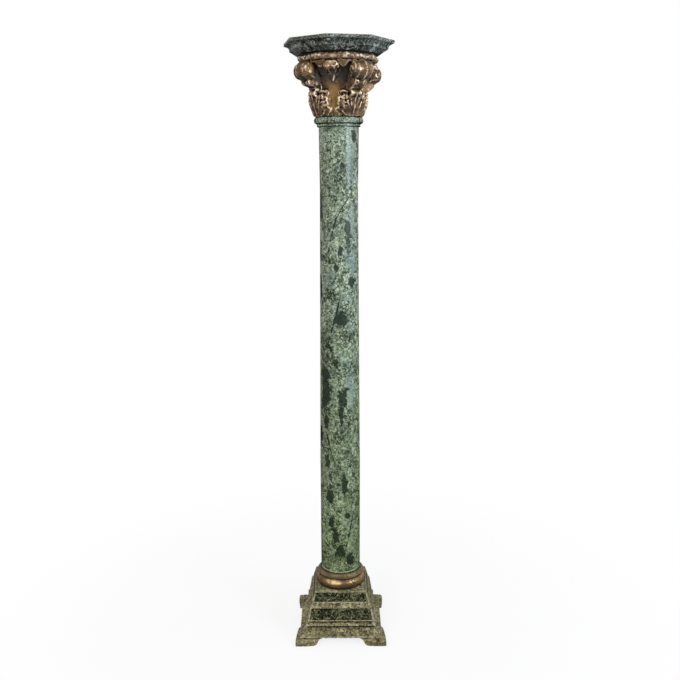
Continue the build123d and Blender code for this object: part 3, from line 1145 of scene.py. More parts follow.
@dataclass
class Shaft:
    """Turned shaft with its taper, groove, fillet and astragal, and its painted blotches."""

    foot_radius: float = 61.9 * MM
    straight: float = 350.0 * MM
    waist_radius: float = 55.8 * MM
    flare: float = 175.0 * MM
    head_radius: float = 57.7 * MM
    groove_radius: float = 56.0 * MM
    groove_height: float = 1.5 * MM
    fillet_radius: float = 62.5 * MM
    fillet_height: float = 7.5 * MM
    astragal_radius: float = 71.6 * MM
    astragal_tube: float = 9.5 * MM
    spacing: float = 2.6 * MM
    steps: int = 144
    seed: int = 11
    # Blotches of the front: angle to the right of the front in degrees, height, half width and half height
    blotches: list[tuple] = field(default_factory=lambda: [
        (47, 1.545, 0.010, 0.014), (10, 1.465, 0.008, 0.010), (26, 1.262, 0.010, 0.042),
        (3, 1.224, 0.006, 0.012), (-11, 1.175, 0.007, 0.010), (40, 1.132, 0.013, 0.016),
        (9, 1.027, 0.014, 0.020), (-38, 0.940, 0.008, 0.010), (-25, 0.929, 0.006, 0.008),
        (-47, 0.811, 0.020, 0.065), (10, 0.775, 0.014, 0.030), (4, 0.735, 0.008, 0.030),
        (-44, 0.704, 0.012, 0.025), (-39, 0.576, 0.008, 0.020), (13, 0.509, 0.011, 0.034),
        (-34, 0.463, 0.012, 0.016), (19, 0.402, 0.009, 0.012), (-27, 0.377, 0.009, 0.022),
        (-15, 0.330, 0.009, 0.022), (0, 0.290, 0.014, 0.030), (30, 0.250, 0.012, 0.020),
    ])
    # Dark veins of the front: angle in degrees and height of each point
    veins: list[list[Pair]] = field(default_factory=lambda: [
        [(40, 1.395), (15, 1.356), (-8, 1.319), (-23, 1.267), (-36, 1.212)],
        [(1, 1.081), (-15, 1.018), (-34, 0.952)],
        [(-41, 0.663), (-17, 0.577), (13, 0.509)],
        [(41, 0.407), (10, 0.261)],
    ])
    # Cool grey-green patches of the front, as the blotches are given: teal streaks of paint, and at the top
    # right a painted sheen of a window's reflection
    cool_patches: list[tuple] = field(default_factory=lambda: [
        (36, 1.500, 0.014, 0.070), (42, 1.300, 0.012, 0.050), (24, 1.235, 0.010, 0.045),
        (40, 1.180, 0.014, 0.040), (30, 0.800, 0.014, 0.050),
    ])
    back_blotches: int = 30
    back: Pair = (70, 290)
    back_wide: Pair = (0.006, 0.016)
    back_tall: Pair = (0.008, 0.045)
    back_margin: float = 0.05
    vein_half: float = 2.2 * MM
    # Value in the middle of a blotch, a vein and a cool patch, and its fall out to the half width
    blotch_fade: Pair = (1.35, 0.75)
    vein_fade: Pair = (0.9, 0.4)
    cool_fade: Pair = (1.4, 0.8)

    def outline(self) -> list[Pair]:
        """Work out the shaft's outline from the frame.

        Returns:
            Points as distance from the axis and height, from the foot to the head.
        """
        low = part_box("base_ring")[1][2]
        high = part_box("capital")[0][2]
        astragal_base = high - 2 * self.astragal_tube
        fillet_base = astragal_base - self.fillet_height
        groove_base = fillet_base - self.groove_height
        seat = self.astragal_radius - self.astragal_tube
        side = [
            (self.foot_radius, low),
            (self.foot_radius, low + self.straight),
            (self.waist_radius, groove_base - self.flare),
            (self.head_radius, groove_base),
            (self.groove_radius, groove_base),
            (self.groove_radius, fillet_base),
            (self.fillet_radius, fillet_base),
            (self.fillet_radius, astragal_base),
            (seat, astragal_base),
            *arc((seat, astragal_base), (seat, high), HALF_ROUND, 16),
        ]
        return [(0, low), *even(side, self.spacing), (0, high)]

    def seams(self) -> tuple[float, ...]:
        """Heights of the joints and grooves in which dirt lies."""
        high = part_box("capital")[0][2]
        astragal_base = high - 2 * self.astragal_tube
        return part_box("base_ring")[1][2], astragal_base, astragal_base - self.fillet_height, high

    def back_spots(self) -> list[tuple]:
        """Draw the blotches of the back, which are given as the front's are.

        Returns:
            The blotches.
        """
        dice = random.Random(self.seed)
        low, high = self.outline()[0][1], self.outline()[-1][1]
        spots = []
        for _ in range(self.back_blotches):
            turn = dice.uniform(*self.back)
            tall = dice.uniform(*self.back_tall)
            level = dice.uniform(low + self.back_margin, high - self.back_margin)
            spots.append((turn, level, dice.uniform(*self.back_wide), tall))
        return spots

    def spots(self, places: np.ndarray, spots: list[tuple], fade: Pair) -> np.ndarray:
        """Work out how strongly soft spots cover the shaft.

        Args:
            places: the shaft's points.
            spots: angle, height, half width and half height of each.
            fade: value in the middle of a spot, and its fall out to the half width.

        Returns:
            One number for each point, from 0 to 1.
        """
        angle = np.arctan2(places[:, 0], -places[:, 1])
        value = np.zeros(len(places))
        for turn, level, wide, tall in spots:
            across = (angle - math.radians(turn) + math.pi) % math.tau - math.pi
            reach = np.hypot(across * self.foot_radius / wide, (places[:, 2] - level) / tall)
            value = np.maximum(value, fade[0] - fade[1] * reach)
        return np.minimum(value, 1)

    def lines(self, places: np.ndarray) -> np.ndarray:
        """Work out how strongly the dark veins cover the shaft.

        Args:
            places: the shaft's points.

        Returns:
            One number for each point, from 0 to 1.
        """
        girth = self.foot_radius
        skin = np.stack((np.arctan2(places[:, 0], -places[:, 1]) * girth, places[:, 2]), axis=1)
        value = np.zeros(len(places))
        for vein in self.veins:
            points = [np.array((math.radians(turn) * girth, level)) for turn, level in vein]
            for first, second in zip(points, points[1:]):
                run = second - first
                share = np.clip((skin - first) @ run / (run @ run), 0, 1)
                gap = np.linalg.norm(skin - first - share[:, None] * run, axis=1) / self.vein_half
                value = np.maximum(value, self.vein_fade[0] - self.vein_fade[1] * gap)
        return value

    def build(self, material: bpy.types.Material) -> None:
        """Turn the shaft, paint it and dress it.

        Args:
            material: the green marbling.
        """
        piece = turned("turned_shaft", self.outline(), self.steps)
        ruffle(piece, 60 * MM, 0.5 * MM)
        keep_inside(piece, "shaft")
        mark_relief(piece, 5, 1.6 * MM, self.seams(), 3 * MM)
        places = points_of(piece)
        blotches = self.spots(places, self.blotches + self.back_spots(), self.blotch_fade)
        store(piece, "blotch", np.maximum(blotches, self.lines(places)))
        # The cool patches hold teal streaks and the painted sheen
        store(piece, "cool", self.spots(places, self.cool_patches, self.cool_fade))
        finish_piece(piece, Slot.SHAFT, material, "shaft")


@dataclass
class BaseRing:
    """Turned torus with a quirk and a hollow collar."""

    torus_reach: float = 80.0 * MM
    torus_tube: float = 16.5 * MM
    quirk_radius: float = 68.0 * MM
    quirk_height: float = 1.5 * MM
    collar_radius: float = 73.5 * MM
    collar_fillet: float = 3.0 * MM
    collar_head: float = 64.0 * MM
    # A painted highlight on the torus's front, as rubbed bright gold: angle, half width, lift, height share,
    # grain, value and swing
    rubbed_turn: float = -18.0
    rubbed_half: float = 18.0
    rubbed_lift: float = 9.0 * MM
    rubbed_tall: float = 0.45
    rubbed_grain: float = 5.0 * MM
    rubbed_value: float = 1.3
    rubbed_swing: Pair = (0.75, 1.2)
    collar_dust: float = 0.5
    spacing: float = 2.2 * MM
    steps: int = 176

    def build(self, material: bpy.types.Material) -> None:
        """Turn the ring and dress it.

        Args:
            material: the warm gilding.
        """
        low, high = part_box("base_ring")
        centre = self.torus_reach - self.torus_tube
        torus_top = low[2] + 2 * self.torus_tube
        collar_base = torus_top + self.quirk_height
        fillet_top = collar_base + self.collar_fillet
        side = [
            (centre, low[2]),
            *arc((centre, low[2]), (centre, torus_top), HALF_ROUND, 24),
            (self.quirk_radius, collar_base),
            (self.collar_radius, collar_base),
            (self.collar_radius, fillet_top),
            *arc((self.collar_radius, fillet_top), (self.collar_head, high[2]), CAVETTO, 6),
        ]
        piece = turned("turned_ring", [(0, low[2]), *even(side, self.spacing), (0, high[2])], self.steps)
        ruffle(piece, 25 * MM, 0.9 * MM)
        keep_inside(piece, "base_ring")
        mark_relief(piece, 4, 1.5 * MM, (low[2], torus_top + 0.7 * self.quirk_height, high[2]))
        places = points_of(piece)
        store(piece, "shade_and_dust", self.collar_dust * (places[:, 2] > collar_base))
        # Paint the highlight into the glow attribute, as rubbed bright gold
        angle = np.degrees(np.arctan2(places[:, 0], -places[:, 1]))
        across = (angle - self.rubbed_turn) / self.rubbed_half
        lift = places[:, 2] - low[2] - self.torus_tube - self.rubbed_lift
        reach = np.hypot(across, lift / (self.rubbed_tall * self.torus_tube))
        glow = np.clip(self.rubbed_value - reach, 0, 1)
        rubbed = glow > 0
        middle, swing = self.rubbed_swing
        glow[rubbed] *= np.clip(middle + swing * cloudy(places[rubbed], self.rubbed_grain), 0, 1)
        store(piece, "glow", glow)
        finish_piece(piece, Slot.GILT, material, "base_ring")


@dataclass
class PedestalDie:
    """Tapered two-tier block with eight framed fields."""

    lower_foot: float = 104.5 * MM
    lower_head: float = 96.5 * MM
    lower_height: float = 48.0 * MM
    step_height: float = 8.0 * MM
    step_fillet: float = 2.0 * MM
    upper_foot: float = 91.5 * MM
    upper_head: float = 81.0 * MM
    frame_width: float = 5.5 * MM
    bead_width: float = 2.2 * MM
    bead_rise: float = 1.0 * MM
    field_depth: float = 5.5 * MM
    # A painted shadow on the top round the ring's foot: its outer radius, soft edge and strength
    ring_dirt: float = 76.0 * MM
    ring_dirt_edge: float = 8.0 * MM
    ring_dirt_share: float = 1.6
    top_skin: float = 3.0 * MM
    work: HandWork = HandWork(1.5 * MM, 2, 22 * MM, 0.7 * MM, 1.4 * MM, 5 * MM, 7.0, 0.9 * MM)

    def frame_fields(self, piece: Piece) -> None:
        """Sink a framed field with a bead round it into each side of both tiers.

        Args:
            piece: the plain block.
        """
        tall = 0.5 * self.lower_height
        pick(piece)
        bpy.ops.object.mode_set(mode="EDIT")
        bpy.ops.mesh.select_mode(type="FACE")
        bpy.ops.mesh.select_all(action="DESELECT")
        bpy.ops.object.mode_set(mode="OBJECT")
        for face in piece.data.polygons:
            upright = abs(face.normal.z) < 0.4
            edges = [piece.data.vertices[index].co.z for index in face.vertices]
            face.select = upright and max(edges) - min(edges) > tall
        bpy.ops.object.mode_set(mode="EDIT")
        insets = (
            (self.frame_width - self.bead_width, 0.0),
            (0.25 * self.bead_width, self.bead_rise),
            (0.5 * self.bead_width, 0.0),
            (0.25 * self.bead_width, -self.bead_rise - self.field_depth),
        )
        for width, rise in insets:
            bpy.ops.mesh.inset(thickness=width, depth=rise, use_individual=True)
        bpy.ops.object.mode_set(mode="OBJECT")

    def build(self, material: bpy.types.Material) -> None:
        """Model the block and dress it.

        Args:
            material: the olive paint.
        """
        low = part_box("plinth")[1][2]
        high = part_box("pedestal_die")[1][2]
        step = low + self.lower_height
        fillet_top = step + self.step_fillet
        upper_base = step + self.step_height
        outline = [
            (self.lower_foot, low),
            (self.lower_head, step),
            (self.lower_head, fillet_top),
            *arc((self.lower_head, fillet_top), (self.upper_foot, upper_base), CAVETTO, 4),
            (self.upper_head, high),
        ]
        piece = moulded("tiered_die", 4, math.radians(45), outline)
        self.frame_fields(piece)
        self.work.skin(piece)
        self.work.roughen(piece)
        places = points_of(piece)
        # Paint the ring's shadow onto the top as extra darkening of the relief
        flat = np.hypot(places[:, 0], places[:, 1])
        near = ramp(flat, self.ring_dirt, self.ring_dirt - self.ring_dirt_edge)
        dirt = self.ring_dirt_share * near * (places[:, 2] > high - self.top_skin)
        self.work.mark(piece, seams=(low,), dirt=dirt)
        finish_piece(piece, Slot.PAINT, material, "pedestal_die")


@dataclass
class Plinth:
    """Square base moulding: fillet, cavetto, bead and neck."""

    half: float = 129.0 * MM
    fillet_height: float = 5.0 * MM
    cavetto_foot: float = 126.0 * MM
    cavetto_head: float = 106.0 * MM
    cavetto_height: float = 23.0 * MM
    bead_height: float = 9.0 * MM
    bead_bulge: float = 0.44
    neck: float = 103.0 * MM
    seam_reach: float = 3.0 * MM
    work: HandWork = HandWork(1.7 * MM, 3, 20 * MM, 1.0 * MM, 1.8 * MM, 6 * MM, 9.0, 1.2 * MM)

    def build(self, material: bpy.types.Material) -> None:
        """Model the moulding and dress it.

        Args:
            material: the olive paint.
        """
        low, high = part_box("plinth")
        cavetto_base = low[2] + self.fillet_height
        cavetto_top = cavetto_base + self.cavetto_height
        bead_top = cavetto_top + self.bead_height
        outline = [
            (self.half, low[2]),
            (self.half, cavetto_base),
            (self.cavetto_foot, cavetto_base),
            *arc((self.cavetto_foot, cavetto_base), (self.cavetto_head, cavetto_top), CAVETTO, 8),
            *arc((self.cavetto_head, cavetto_top), (self.cavetto_head, bead_top), self.bead_bulge, 7),
            (self.neck, bead_top),
            (self.neck, high[2]),
        ]
        piece = moulded("moulded_plinth", 4, math.radians(45), outline)
        self.work.skin(piece)
        self.work.roughen(piece)
        keep_inside(piece, "plinth")
        self.work.mark(piece, seams=(low[2], cavetto_top, high[2]), reach=self.seam_reach)
        finish_piece(piece, Slot.PAINT, material, "plinth")


FOOT_WORK = HandWork(1.4 * MM, 3, 18 * MM, 1.0 * MM, 2.0 * MM, 6 * MM, 11.0, 1.2 * MM)


@dataclass
class BracketFoot:
    """One ogee bracket foot."""

    node: str
    work: HandWork

    def build(self, material: bpy.types.Material) -> None:
        """Ease and chip a copy of the foot, and dress it.

        Args:
            material: the olive paint.
        """
        piece = copy_of_node(self.node, f"carved_{self.node}")
        self.work.skin(piece)
        self.work.roughen(piece)
        keep_inside(piece, self.node)
        self.work.mark(piece)
        finish_piece(piece, Slot.PAINT, material, self.node)


@dataclass(frozen=True)
class Ridge:
    """A carved ridge: the angle and height of its points, its two end radii and how far it stands out."""

    path: tuple[Pair, ...]
    thick: float
    thin: float
    proud: float = 0.0

    def beside(self, side: int, middle: float = 0.0) -> "Ridge":
        """Put the ridge on one side of a middle angle, from which its own angles count."""
        return replace(self, path=tuple((middle + side * turn, level) for turn, level in self.path))


@dataclass(frozen=True)
class Sites:
    """Where the capital's points lie: degrees from a leaf's middle, millimetres from its axis and foot.

    broken tells how near they are to the broken roll, from 0 to 1.
    """

    turn: np.ndarray
    reach: np.ndarray
    height: np.ndarray
    broken: np.ndarray


@dataclass(frozen=True)
class Zone:
    """A part of the capital with soft edges, each from where it begins to where the zone is full."""

    turns: tuple[Pair, ...] = ()
    reaches: tuple[Pair, ...] = ()
    heights: tuple[Pair, ...] = ()

    def share(self, sites: Sites) -> np.ndarray:
        """Work out how far points lie in the zone.

        Args:
            sites: where they lie on the capital.

        Returns:
            One number for each point, from 0 to 1.
        """
        share = np.ones(len(sites.turn))
        edges = ((sites.turn, self.turns), (sites.reach, self.reaches), (sites.height, self.heights))
        for values, spans in edges:
            for start, end in spans:
                share = share * ramp(values, start, end)
        return share


@dataclass
class Capital:
    """Carved head: bell, acanthus leaves, rolled tips, flowers and band.

    Angles are in degrees from the middle of a leaf. Heights, the radii of ridges and the edges of zones
    are in millimetres, and heights count from the capital's foot.
    """

    flower_turn: float = 45.0
    roll_reach: float = 114.0 * MM
    roll_height: float = 120.0
    roll_side: float = 28.0 * MM
    roll_radii: Pair = (19.0 * MM, 4.0 * MM)
    roll_turns: float = 0.7
    broken_turn: float = 180.0
    band_height: float = 151.0
    band_swell: float = 1.6
    band_grain: float = 9.0 * MM
    # Where the painted highlight sits on the broken roll: angle, height and reach
    patch_turn: float = -44.0
    patch_height: float = 128.0
    patch_reach: float = 13.0 * MM
    roll_calm: float = 0.22
    scroll_girth: float = 84.0
    work: HandWork = HandWork(
        1.85 * MM, 2, 14 * MM, 1.4 * MM, 1.2 * MM, 6 * MM, 5.0, 1.6 * MM, 0.5 * MM, 6, 14,
    )
    midrib: Ridge = Ridge(((-1, 2), (2, 20), (-2, 40), (1, 58)), 2.6, 2.0)
    leaf_rim: Ridge = Ridge(
        ((15, 3), (24, 8), (25, 18), (19, 24), (28, 28), (36, 34), (36, 44), (30, 50)), 2.4, 2.0,
    )
    leaf_hook: Ridge = Ridge(((26, 39), (18, 34), (14, 40), (17, 47), (21, 44)), 2.4, 1.8, 0.8)
    stem_rim: Ridge = Ridge(((15, 108), (13, 102), (8, 94), (3, 87), (6, 81), (10, 84)), 2.4, 2.4, 0.8)
    pendants: tuple[Ridge, ...] = (
        Ridge(((9.5, 112), (4.75, 104), (0, 92)), 2.4, 1.6, 0.4),
        Ridge(((5, 106), (2.5, 98), (0, 93)), 2.4, 1.6, 0.4),
    )
    petal: Ridge = Ridge(((0, 140), (5, 143), (9, 138), (8, 129), (3, 126), (2, 131)), 2.2, 1.8, 1.0)
    foot_tips: tuple[Ridge, ...] = (
        Ridge(((13, 4), (10, 9), (7, 12), (4, 22), (0, 31)), 2.0, 2.6, 0.6),
        Ridge(((4, 3), (3, 10), (0, 19)), 2.0, 2.0, 0.4),
    )
    swag_dips: tuple[float, ...] = (17, 12, 7, 2)
    swag_turns: Pair = (11.0, 17.0)
    swag_reach: float = 101.5
    swag_height: float = 147.0
    swag_lean: float = 0.35
    # Deep hollows of half a leaf: angle, height, radius and depth
    pits: tuple[tuple, ...] = (
        (25, 58, 4.5, 6.0), (16, 44, 4.0, 6.0), (30, 46, 4.0, 5.0),
        (14, 68, 4.0, 5.0), (20, 12, 4.0, 3.0), (30, 22, 5.0, 4.0),
    )
    near_break: Pair = (37.5, 12.5)
    # Only what lies beyond the reach is cut. Each cut has a middle height and half height
    proud_reach: float = 74.0
    notch_at: Pair = (78, 5.0)
    notch_depths: Pair = (5.0, 9.0)
    ledge_at: Pair = (60, 5.5)
    ledge_depth: float = 9.0
    bell_reach: float = 66.5
    bare_depths: Pair = (-4, 20)
    # Painted shade in the niches and under what overhangs between two heights, and dust on the band
    niche_top: float = 149.0
    niche_soot: float = 0.9
    under_at: Pair = (80, 120)
    under_span: Pair = (0.1875, 0.8125)
    under_soot: float = 0.7
    band_soot: float = 0.35
    patch_fade: Pair = (1.5, 1.2)
    notch: Zone = Zone(turns=((37.5, 12.5),))
    ledge: Zone = Zone(turns=((9, 13), (36, 32)))
    bare: Zone = Zone(turns=((34, 40),), heights=((20, 38), (74, 64)))
    niche: Zone = Zone(reaches=((104, 92),), heights=((82, 100),))
    bright: Zone = Zone(turns=((28, 36),), heights=((14, 24), (98, 76)))
    rolls: Zone = Zone(turns=((32, 27),), reaches=((96, 104),), heights=((92, 100), (146, 140)))
    base: float = field(init=False, default=0.0)
    block: Piece | None = field(init=False, default=None)

    def seat(self, angle: float, height: float, proud: float) -> Vector:
        """Find the place on the carved block at an angle and height.

        Args:
            angle: degrees from the middle of a leaf.
            height: millimetres over the capital's foot.
            proud: how far the place stands out of the surface.

        Returns:
            The place, in the frame of the leaf that faces +X.
        """
        turn = math.radians(angle)
        way = Vector((math.cos(turn), math.sin(turn), 0))
        rise = Vector((0, 0, self.base + height * MM))
        hit, place, _, _ = self.block.ray_cast(way * 0.2 + rise, -way)
        return (place if hit else way * 0.07 + rise) + way * proud

    def ridge(self, ridge: Ridge) -> Piece:
        """Lay a rounded ridge over the carved surface, as a closed mesh."""
        places = [self.seat(angle, height, ridge.proud * MM) for angle, height in ridge.path]
        return self.tube(places, ridge.thick * MM, ridge.thin * MM)

    def tube(self, places: list[Vector], thick: float, thin: float) -> Piece:
        """Draw a smooth tapered tube through several places.

        Args:
            places: the tube's points.
            thick: radius at the start.
            thin: radius at the end.

        Returns:
            The tube, as a closed mesh.
        """
        curve = bpy.data.curves.new("ridge", "CURVE")
        curve.dimensions = "3D"
        curve.bevel_depth = 1.0
        curve.bevel_resolution = 2
        curve.use_fill_caps = True
        curve.resolution_u = 4
        spline = curve.splines.new("NURBS")
        spline.points.add(len(places) - 1)
        for index, (point, place) in enumerate(zip(spline.points, places)):
            point.co = (*place, 1.0)
            point.radius = thick + (thin - thick) * index / (len(places) - 1)
        spline.use_endpoint_u = True
        spline.order_u = 3
        piece = bpy.data.objects.new("ridge", curve)
        bpy.context.scene.collection.objects.link(piece)
        pick(piece)
        bpy.ops.object.convert(target="MESH")
        return bpy.context.object

    def scroll(self, angle: float, height: float, radii: Pair, turns: float, way: Way) -> tuple[Pair, ...]:
        """Work out the path of a scroll on the surface.

        Args:
            angle: degrees of its eye from the middle of the leaf.
            height: height of its eye.
            radii: its radius at the start and at the end.
            turns: full turns that it makes.
            way: which way it winds.

        Returns:
            Angle and height of each point.
        """
        path = []
        for share in np.linspace(0, 1, max(6, int(10 * turns)) + 1):
            reach = radii[0] + (radii[1] - radii[0]) * share
            turn = math.pi * 1.5 + way.value * math.tau * turns * share
            across = math.degrees(reach * math.cos(turn) / self.scroll_girth)
            path.append((angle + across, height + reach * math.sin(turn)))
        return tuple(path)

    def leaf(self) -> list[Piece]:
        """Carve the ribs, lobes, side scrolls and curled tip of the lower leaf.

        Returns:
            The ridges of one leaf.
        """
        half = []
        for number in range(1, 4):
            root, tip, top = 2.5 + 3.5 * number, 4.0 + 7.5 * number, 62 - 5 * number
            path = ((root, 2), (root + 1.0, 0.4 * top), (tip - 2.0, 0.8 * top), (tip, top))
            half.append(Ridge(path, 2.6, 1.8))
        upper = Ridge(self.scroll(25, 58, (12.5, 3.0), 1.3, Way.LEFT), 3.0, 2.2, 1.2)
        lower = Ridge(self.scroll(35, 41, (7.5, 2.5), 1.1, Way.RIGHT), 2.6, 2.0, 1.4)
        half += [self.leaf_rim, upper, lower, self.leaf_hook]
        return [self.ridge(self.midrib), *[self.ridge(line.beside(side)) for side in SIDES for line in half]]

    def upper_leaf(self) -> list[Piece]:
        """Carve the rims and hooks of the stem and its rolled tip, with a scroll on each end.

        Returns:
            The ridges of one upper leaf.
        """
        work = []
        centre = Vector((self.roll_reach, 0, self.base + self.roll_height * MM))
        for side in SIDES:
            work.append(self.ridge(self.stem_rim.beside(side)))
            places = []
            for share in np.linspace(0, 1, 19):
                reach = self.roll_radii[0] + (self.roll_radii[1] - self.roll_radii[0]) * share
                turn = math.pi * 0.5 - math.tau * self.roll_turns * share
                across = side * self.roll_side
                places.append(centre + Vector((reach * math.cos(turn), across, reach * math.sin(turn))))
            work.append(self.tube(places, 2.6 * MM, 2.2 * MM))
        return work

    def swag(self, side: int, dip: float) -> Piece:
        """Hang one cord of the swag between the flower and a roll.

        Args:
            side: the side of the flower.
            dip: how low it hangs in its middle.

        Returns:
            The cord.
        """
        places = []
        for share in np.linspace(0, 1, 9):
            turn = math.radians(self.flower_turn - side * (self.swag_turns[0] + self.swag_turns[1] * share))
            fall = dip * math.sin(math.pi * share)
            reach = (self.swag_reach - self.swag_lean * fall) * MM
            level = self.base + (self.swag_height - fall) * MM
            places.append(Vector((reach * math.cos(turn), reach * math.sin(turn), level)))
        return self.tube(places, 2.4 * MM, 2.4 * MM)

    def flower(self) -> list[Piece]:
        """Carve the flower, its pendant, the swags beside it and the leaf tip at the foot.

        Returns:
            The ridges of one bare field.
        """
        middle = self.flower_turn
        work = [self.ridge(line.beside(side, middle)) for line in self.pendants for side in SIDES]
        for side in SIDES:
            work.append(self.ridge(self.petal.beside(side, middle)))
            work += [self.swag(side, dip) for dip in self.swag_dips]
            work += [self.ridge(line.beside(side, middle)) for line in self.foot_tips]
        return work

    def sink(self, places: np.ndarray) -> np.ndarray:
        """Sink the deep hollows.

        Args:
            places: the capital's points, which are moved.

        Returns:
            How much painted shading darkens the hollows, for each point.
        """
        shade_and_dust = np.zeros(len(places))
        flat = np.hypot(places[:, 0], places[:, 1])
        pits = [(side * angle, *rest) for side in SIDES for angle, *rest in self.pits]
        for quarter in range(QUARTERS):
            turning = Matrix.Rotation(HEAD_TURN + quarter * math.tau / QUARTERS, 3, "Z")
            for angle, height, radius, depth in pits:
                centre = np.array(turning @ self.seat(angle, height, 0.0))
                fall = ramp(np.linalg.norm(places - centre, axis=1), radius * MM, 0.0)
                fall = fall * fall * (3 - 2 * fall)
                places[:, :2] *= (1 - fall * depth * MM / flat)[:, None]
                shade_and_dust = np.maximum(shade_and_dust, fall)
        return shade_and_dust

    def sites(self, places: np.ndarray) -> Sites:
        """Work out where points lie on the capital.

        Args:
            places: the points.

        Returns:
            Where they lie, in degrees and millimetres.
        """
        turn = np.degrees(np.arctan2(places[:, 1], places[:, 0]) - HEAD_TURN)
        off = np.abs((turn - self.broken_turn + 180) % 360 - 180)
        flat = np.hypot(places[:, 0], places[:, 1]) / MM
        height = (places[:, 2] - self.base) / MM
        return Sites(np.abs((turn + 45) % 90 - 45), flat, height, ramp(off, *self.near_break))

    def sculpt(self, piece: Piece) -> None:
        """Round the carved leaves off, open the bare fields and keep the painted shading with the band's
        dusty tone, and the clean gold with the painted highlights.

        Args:
            piece: the dense carved capital.
        """
        places = points_of(piece)
        down = -normals_of(piece)[:, 2]
        shade_and_dust = self.sink(places)
        sites = self.sites(places)
        height = sites.height
        depth = self.notch_depths[0] + self.notch_depths[1] * sites.broken
        notch = depth * hump(height, *self.notch_at) * self.notch.share(sites)
        ledge = self.ledge_depth * hump(height, *self.ledge_at) * self.ledge.share(sites)
        fall = (notch + ledge) * (sites.reach > self.proud_reach)
        fall = fall + np.clip(sites.reach - self.bell_reach, *self.bare_depths) * self.bare.share(sites)
        band = height > self.band_height
        fall[band] += self.band_swell * cloudy(places[band], self.band_grain)
        places[:, :2] *= (1 - fall / sites.reach)[:, None]
        # Painted shade in the niches and under overhangs, and dust on the band
        niche = self.niche_soot * self.niche.share(sites) * (height < self.niche_top)
        low, high = self.under_at
        under = self.under_soot * ramp(down, *self.under_span) * (height > low) * (height < high)
        # Painted light in the glow attribute: clean gold on the lower bell between the leaves, painted as
        # lit, and a painted highlight on the broken roll
        patch = np.linalg.norm(places - self.bright_patch(), axis=1) / self.patch_reach
        patch = np.clip(self.patch_fade[0] - self.patch_fade[1] * patch, 0, 1)
        glow = np.maximum(self.bright.share(sites), patch)
        set_points(piece, places)
        store(piece, "shade_and_dust", np.maximum.reduce((shade_and_dust, niche, under, self.band_soot * band)))
        store(piece, "glow", glow)

    def bright_patch(self) -> np.ndarray:
        """The middle of the painted highlight on the broken roll, at its angle to the right of the front."""
        turn = math.radians(self.patch_turn)
        level = self.base + self.patch_height * MM
        return np.array((self.roll_reach * math.sin(turn), -self.roll_reach * math.cos(turn), level))

    def turned_copy(self, piece: Piece, turn: float) -> Piece:
        """Copy a piece, turned about the column's axis.

        Args:
            piece: the object to copy.
            turn: angle in radians.

        Returns:
            The copy, with a mesh of its own.
        """
        part = piece.copy()
        part.data = piece.data.copy()
        bpy.context.scene.collection.objects.link(part)
        part.data.transform(Matrix.Rotation(turn, 4, "Z"))
        return part

    def build(self, material: bpy.types.Material) -> None:
        """Carve the capital out of a copy of its block, and dress it.

        Args:
            material: the gilding.
        """
        self.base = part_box("capital")[0][2]
        capital = copy_of_node("capital", "carved_capital")
        self.block = self.turned_copy(capital, -HEAD_TURN)
        bpy.context.view_layer.update()
        quarter = join([*self.leaf(), *self.upper_leaf(), *self.flower()], "carving")
        turns = [HEAD_TURN + number * math.tau / QUARTERS for number in range(QUARTERS)]
        parts = [self.turned_copy(quarter, turn) for turn in turns]
        bpy.data.objects.remove(quarter)
        capital = join([capital, *parts], "carved_capital")
        self.work.skin(capital)
        self.sculpt(capital)
        self.work.roughen(capital)
        keep_inside(capital, "capital")
        sites = self.sites(points_of(capital))
        calm = self.roll_calm * (1 + sites.broken) * self.rolls.share(sites)
        self.work.mark(capital, calm=1 - calm)
        bpy.data.objects.remove(self.block)
        finish_piece(capital, Slot.GILT, material, "capital")


@dataclass(frozen=True)
class Lamp:
    """A soft square lamp: place, aim, width, watts, colour, and the degrees over which it shines."""

    name: str
    place: tuple
    aim: tuple
    size: float
    power: float
    colour: Colour
    spread: float = 180.0

    def hang(self) -> None:
        """Hang the lamp, which the camera doesn't see."""
        data = bpy.data.lights.new(self.name, "AREA")
        data.spread = math.radians(self.spread)
        data.size = self.size
        data.energy = self.power
        data.color = self.colour
        lamp = bpy.data.objects.new(self.name, data)
        lamp.location = self.place
        lamp.visible_camera = False
        lamp.rotation_euler = (Vector(self.aim) - Vector(self.place)).to_track_quat("-Z", "Y").to_euler()
        bpy.context.scene.collection.objects.link(lamp)


